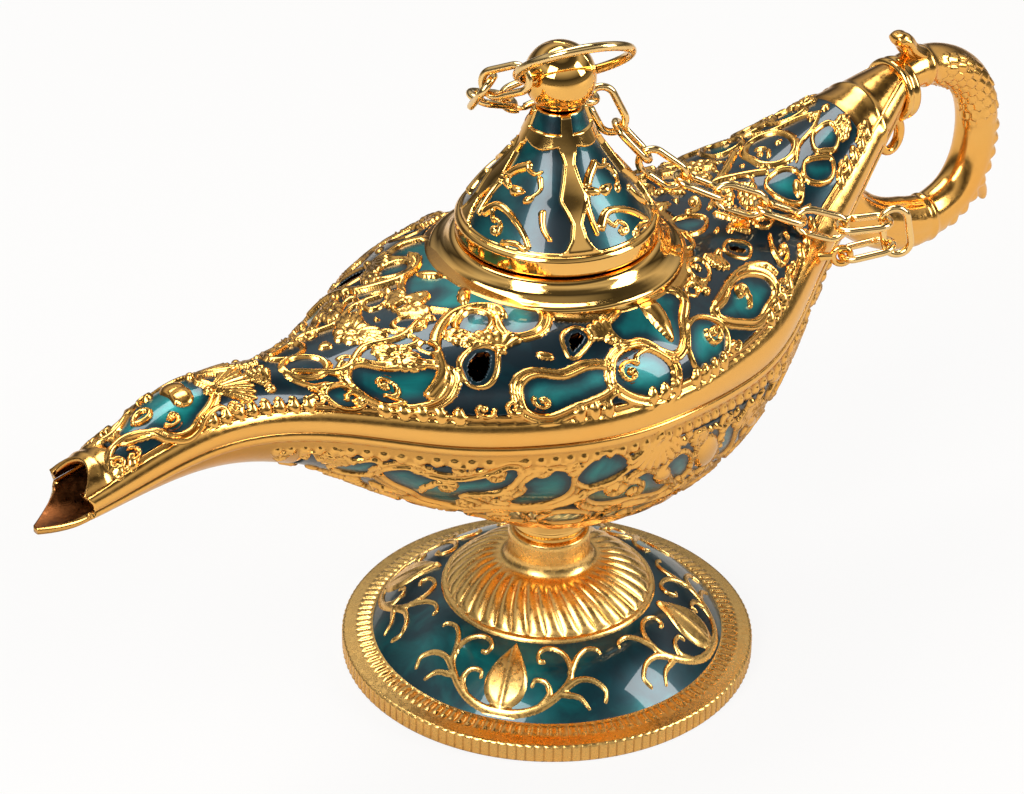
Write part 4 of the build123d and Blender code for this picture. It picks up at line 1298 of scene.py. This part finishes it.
def ball_material():
    """Polished metal with the fine line that a two-part mould leaves."""
    material = gold("gold_ball", (0.88, 0.50, 0.13), (0.88, 0.50, 0.13), 0.06)
    tree = material.node_tree
    place = next(n for n in tree.nodes if n.type == "TEX_COORD")
    split = tree.nodes.new("ShaderNodeSeparateXYZ")
    join(tree, place, "Object", split, 0)
    turn = tree.nodes.new("ShaderNodeMath")
    turn.operation = "MULTIPLY_ADD"
    turn.inputs[1].default_value = 0.55
    join(tree, split, "Y", turn, 0)
    join(tree, split, "X", turn, 2)
    size = tree.nodes.new("ShaderNodeMath")
    size.operation = "ABSOLUTE"
    join(tree, turn, 0, size, 0)
    line = add_node(tree, "ShaderNodeMapRange", From_Min=0.0, From_Max=0.00022, To_Min=0.0, To_Max=1.0)
    join(tree, size, 0, line, "Value")
    bump = add_node(tree, "ShaderNodeBump", Strength=0.5, Distance=0.0003)
    join(tree, line, "Result", bump, "Height")
    shader = tree.nodes["Principled BSDF"]
    old = shader.inputs["Normal"].links[0].from_socket
    tree.links.new(old, bump.inputs["Normal"])
    join(tree, bump, "Normal", shader, "Normal")
    return material


def finish_cad_nodes():
    """Materials for the CAD pieces that stay shown, such as the ball and its ring."""
    ball = ball_material()
    for name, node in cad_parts.items():
        if node.hide_render:
            continue
        material = ball if name == "finial_ball" else gold_wire
        for slot in node.material_slots:
            slot.link = "OBJECT"
            slot.material = material


# Floor and light


def studio():
    size = 3.0
    mesh = bpy.data.meshes.new("floor")
    mesh.from_pydata(
        [(-size, -size, -0.0002), (size, -size, -0.0002), (size, size, -0.0002), (-size, size, -0.0002)],
        [], [(0, 1, 2, 3)],
    )
    floor = bpy.data.objects.new("floor", mesh)
    bpy.context.scene.collection.objects.link(floor)
    material = bpy.data.materials.new("floor_white")
    material.use_nodes = True
    tree = material.node_tree
    tree.nodes.clear()
    out = tree.nodes.new("ShaderNodeOutputMaterial")
    path = tree.nodes.new("ShaderNodeLightPath")
    plain = tree.nodes.new("ShaderNodeBsdfDiffuse")
    plain.inputs["Color"].default_value = (0.56, 0.52, 0.47, 1)
    glow = tree.nodes.new("ShaderNodeEmission")
    glow.inputs["Color"].default_value = (1, 1, 1, 1)
    mix = tree.nodes.new("ShaderNodeMixShader")
    part = tree.nodes.new("ShaderNodeMath")
    part.operation = "MULTIPLY"
    part.inputs[1].default_value = 0.88
    join(tree, path, "Is Camera Ray", part, 0)
    join(tree, part, 0, mix, 0)
    join(tree, plain, 0, mix, 1)
    join(tree, glow, 0, mix, 2)
    join(tree, mix, 0, out, 0)
    mesh.materials.append(material)

    world = bpy.context.scene.world or bpy.data.worlds.new("studio")
    bpy.context.scene.world = world
    world.use_nodes = True
    tree = world.node_tree
    tree.nodes.clear()
    out = tree.nodes.new("ShaderNodeOutputWorld")
    place = tree.nodes.new("ShaderNodeTexCoord")
    split = tree.nodes.new("ShaderNodeSeparateXYZ")
    join(tree, place, "Generated", split, 0)
    ramp = tree.nodes.new("ShaderNodeValToRGB")
    stops = [
        (0.0, 0.80), (0.40, 0.80), (0.50, 0.20), (0.60, 0.05), (0.71, 0.45), (0.80, 0.85),
        (0.88, 0.10), (0.95, 0.06), (1.0, 0.40),
    ]
    ramp.color_ramp.elements[0].position = stops[0][0]
    ramp.color_ramp.elements[0].color = (stops[0][1],) * 3 + (1,)
    ramp.color_ramp.elements[1].position = stops[-1][0]
    ramp.color_ramp.elements[1].color = (stops[-1][1],) * 3 + (1,)
    for position, level in stops[1:-1]:
        stop = ramp.color_ramp.elements.new(position)
        stop.color = (level, level, level, 1)
    lift = tree.nodes.new("ShaderNodeMapRange")
    lift.inputs["From Min"].default_value = -1.0
    join(tree, split, "Z", lift, "Value")
    join(tree, lift, "Result", ramp, "Fac")
    room = tree.nodes.new("ShaderNodeBackground")
    room.inputs["Strength"].default_value = 0.85
    join(tree, ramp, "Color", room, "Color")
    white = tree.nodes.new("ShaderNodeBackground")
    white.inputs["Color"].default_value = (1, 1, 1, 1)
    path = tree.nodes.new("ShaderNodeLightPath")
    mix = tree.nodes.new("ShaderNodeMixShader")
    join(tree, path, "Is Camera Ray", mix, 0)
    join(tree, room, 0, mix, 1)
    join(tree, white, 0, mix, 2)
    join(tree, mix, 0, out, 0)

    for name, spot, size, power in (
        ("softbox_left", (-0.75, -0.25, 0.65), (0.45, 0.6), 9.0),
        ("softbox_right", (0.55, -0.65, 0.55), (0.35, 0.6), 7.0),
        ("softbox_top", (0.05, 0.35, 0.95), (0.7, 0.4), 7.0),
    ):
        data = bpy.data.lights.new(name, "AREA")
        data.shape = "RECTANGLE"
        data.size, data.size_y = size
        data.energy = power
        lamp = bpy.data.objects.new(name, data)
        bpy.context.scene.collection.objects.link(lamp)
        lamp.location = spot
        lamp.rotation_euler = (Vector((0, 0, 0.06)) - Vector(spot)).to_track_quat("-Z", "Y").to_euler()


place_camera()
upper_shell()
lower_shell()
foot()
lid()
collar()
handle()
chain_eye()
chain()
finish_cad_nodes()
studio()
bpy.context.scene.view_settings.view_transform = "Standard"
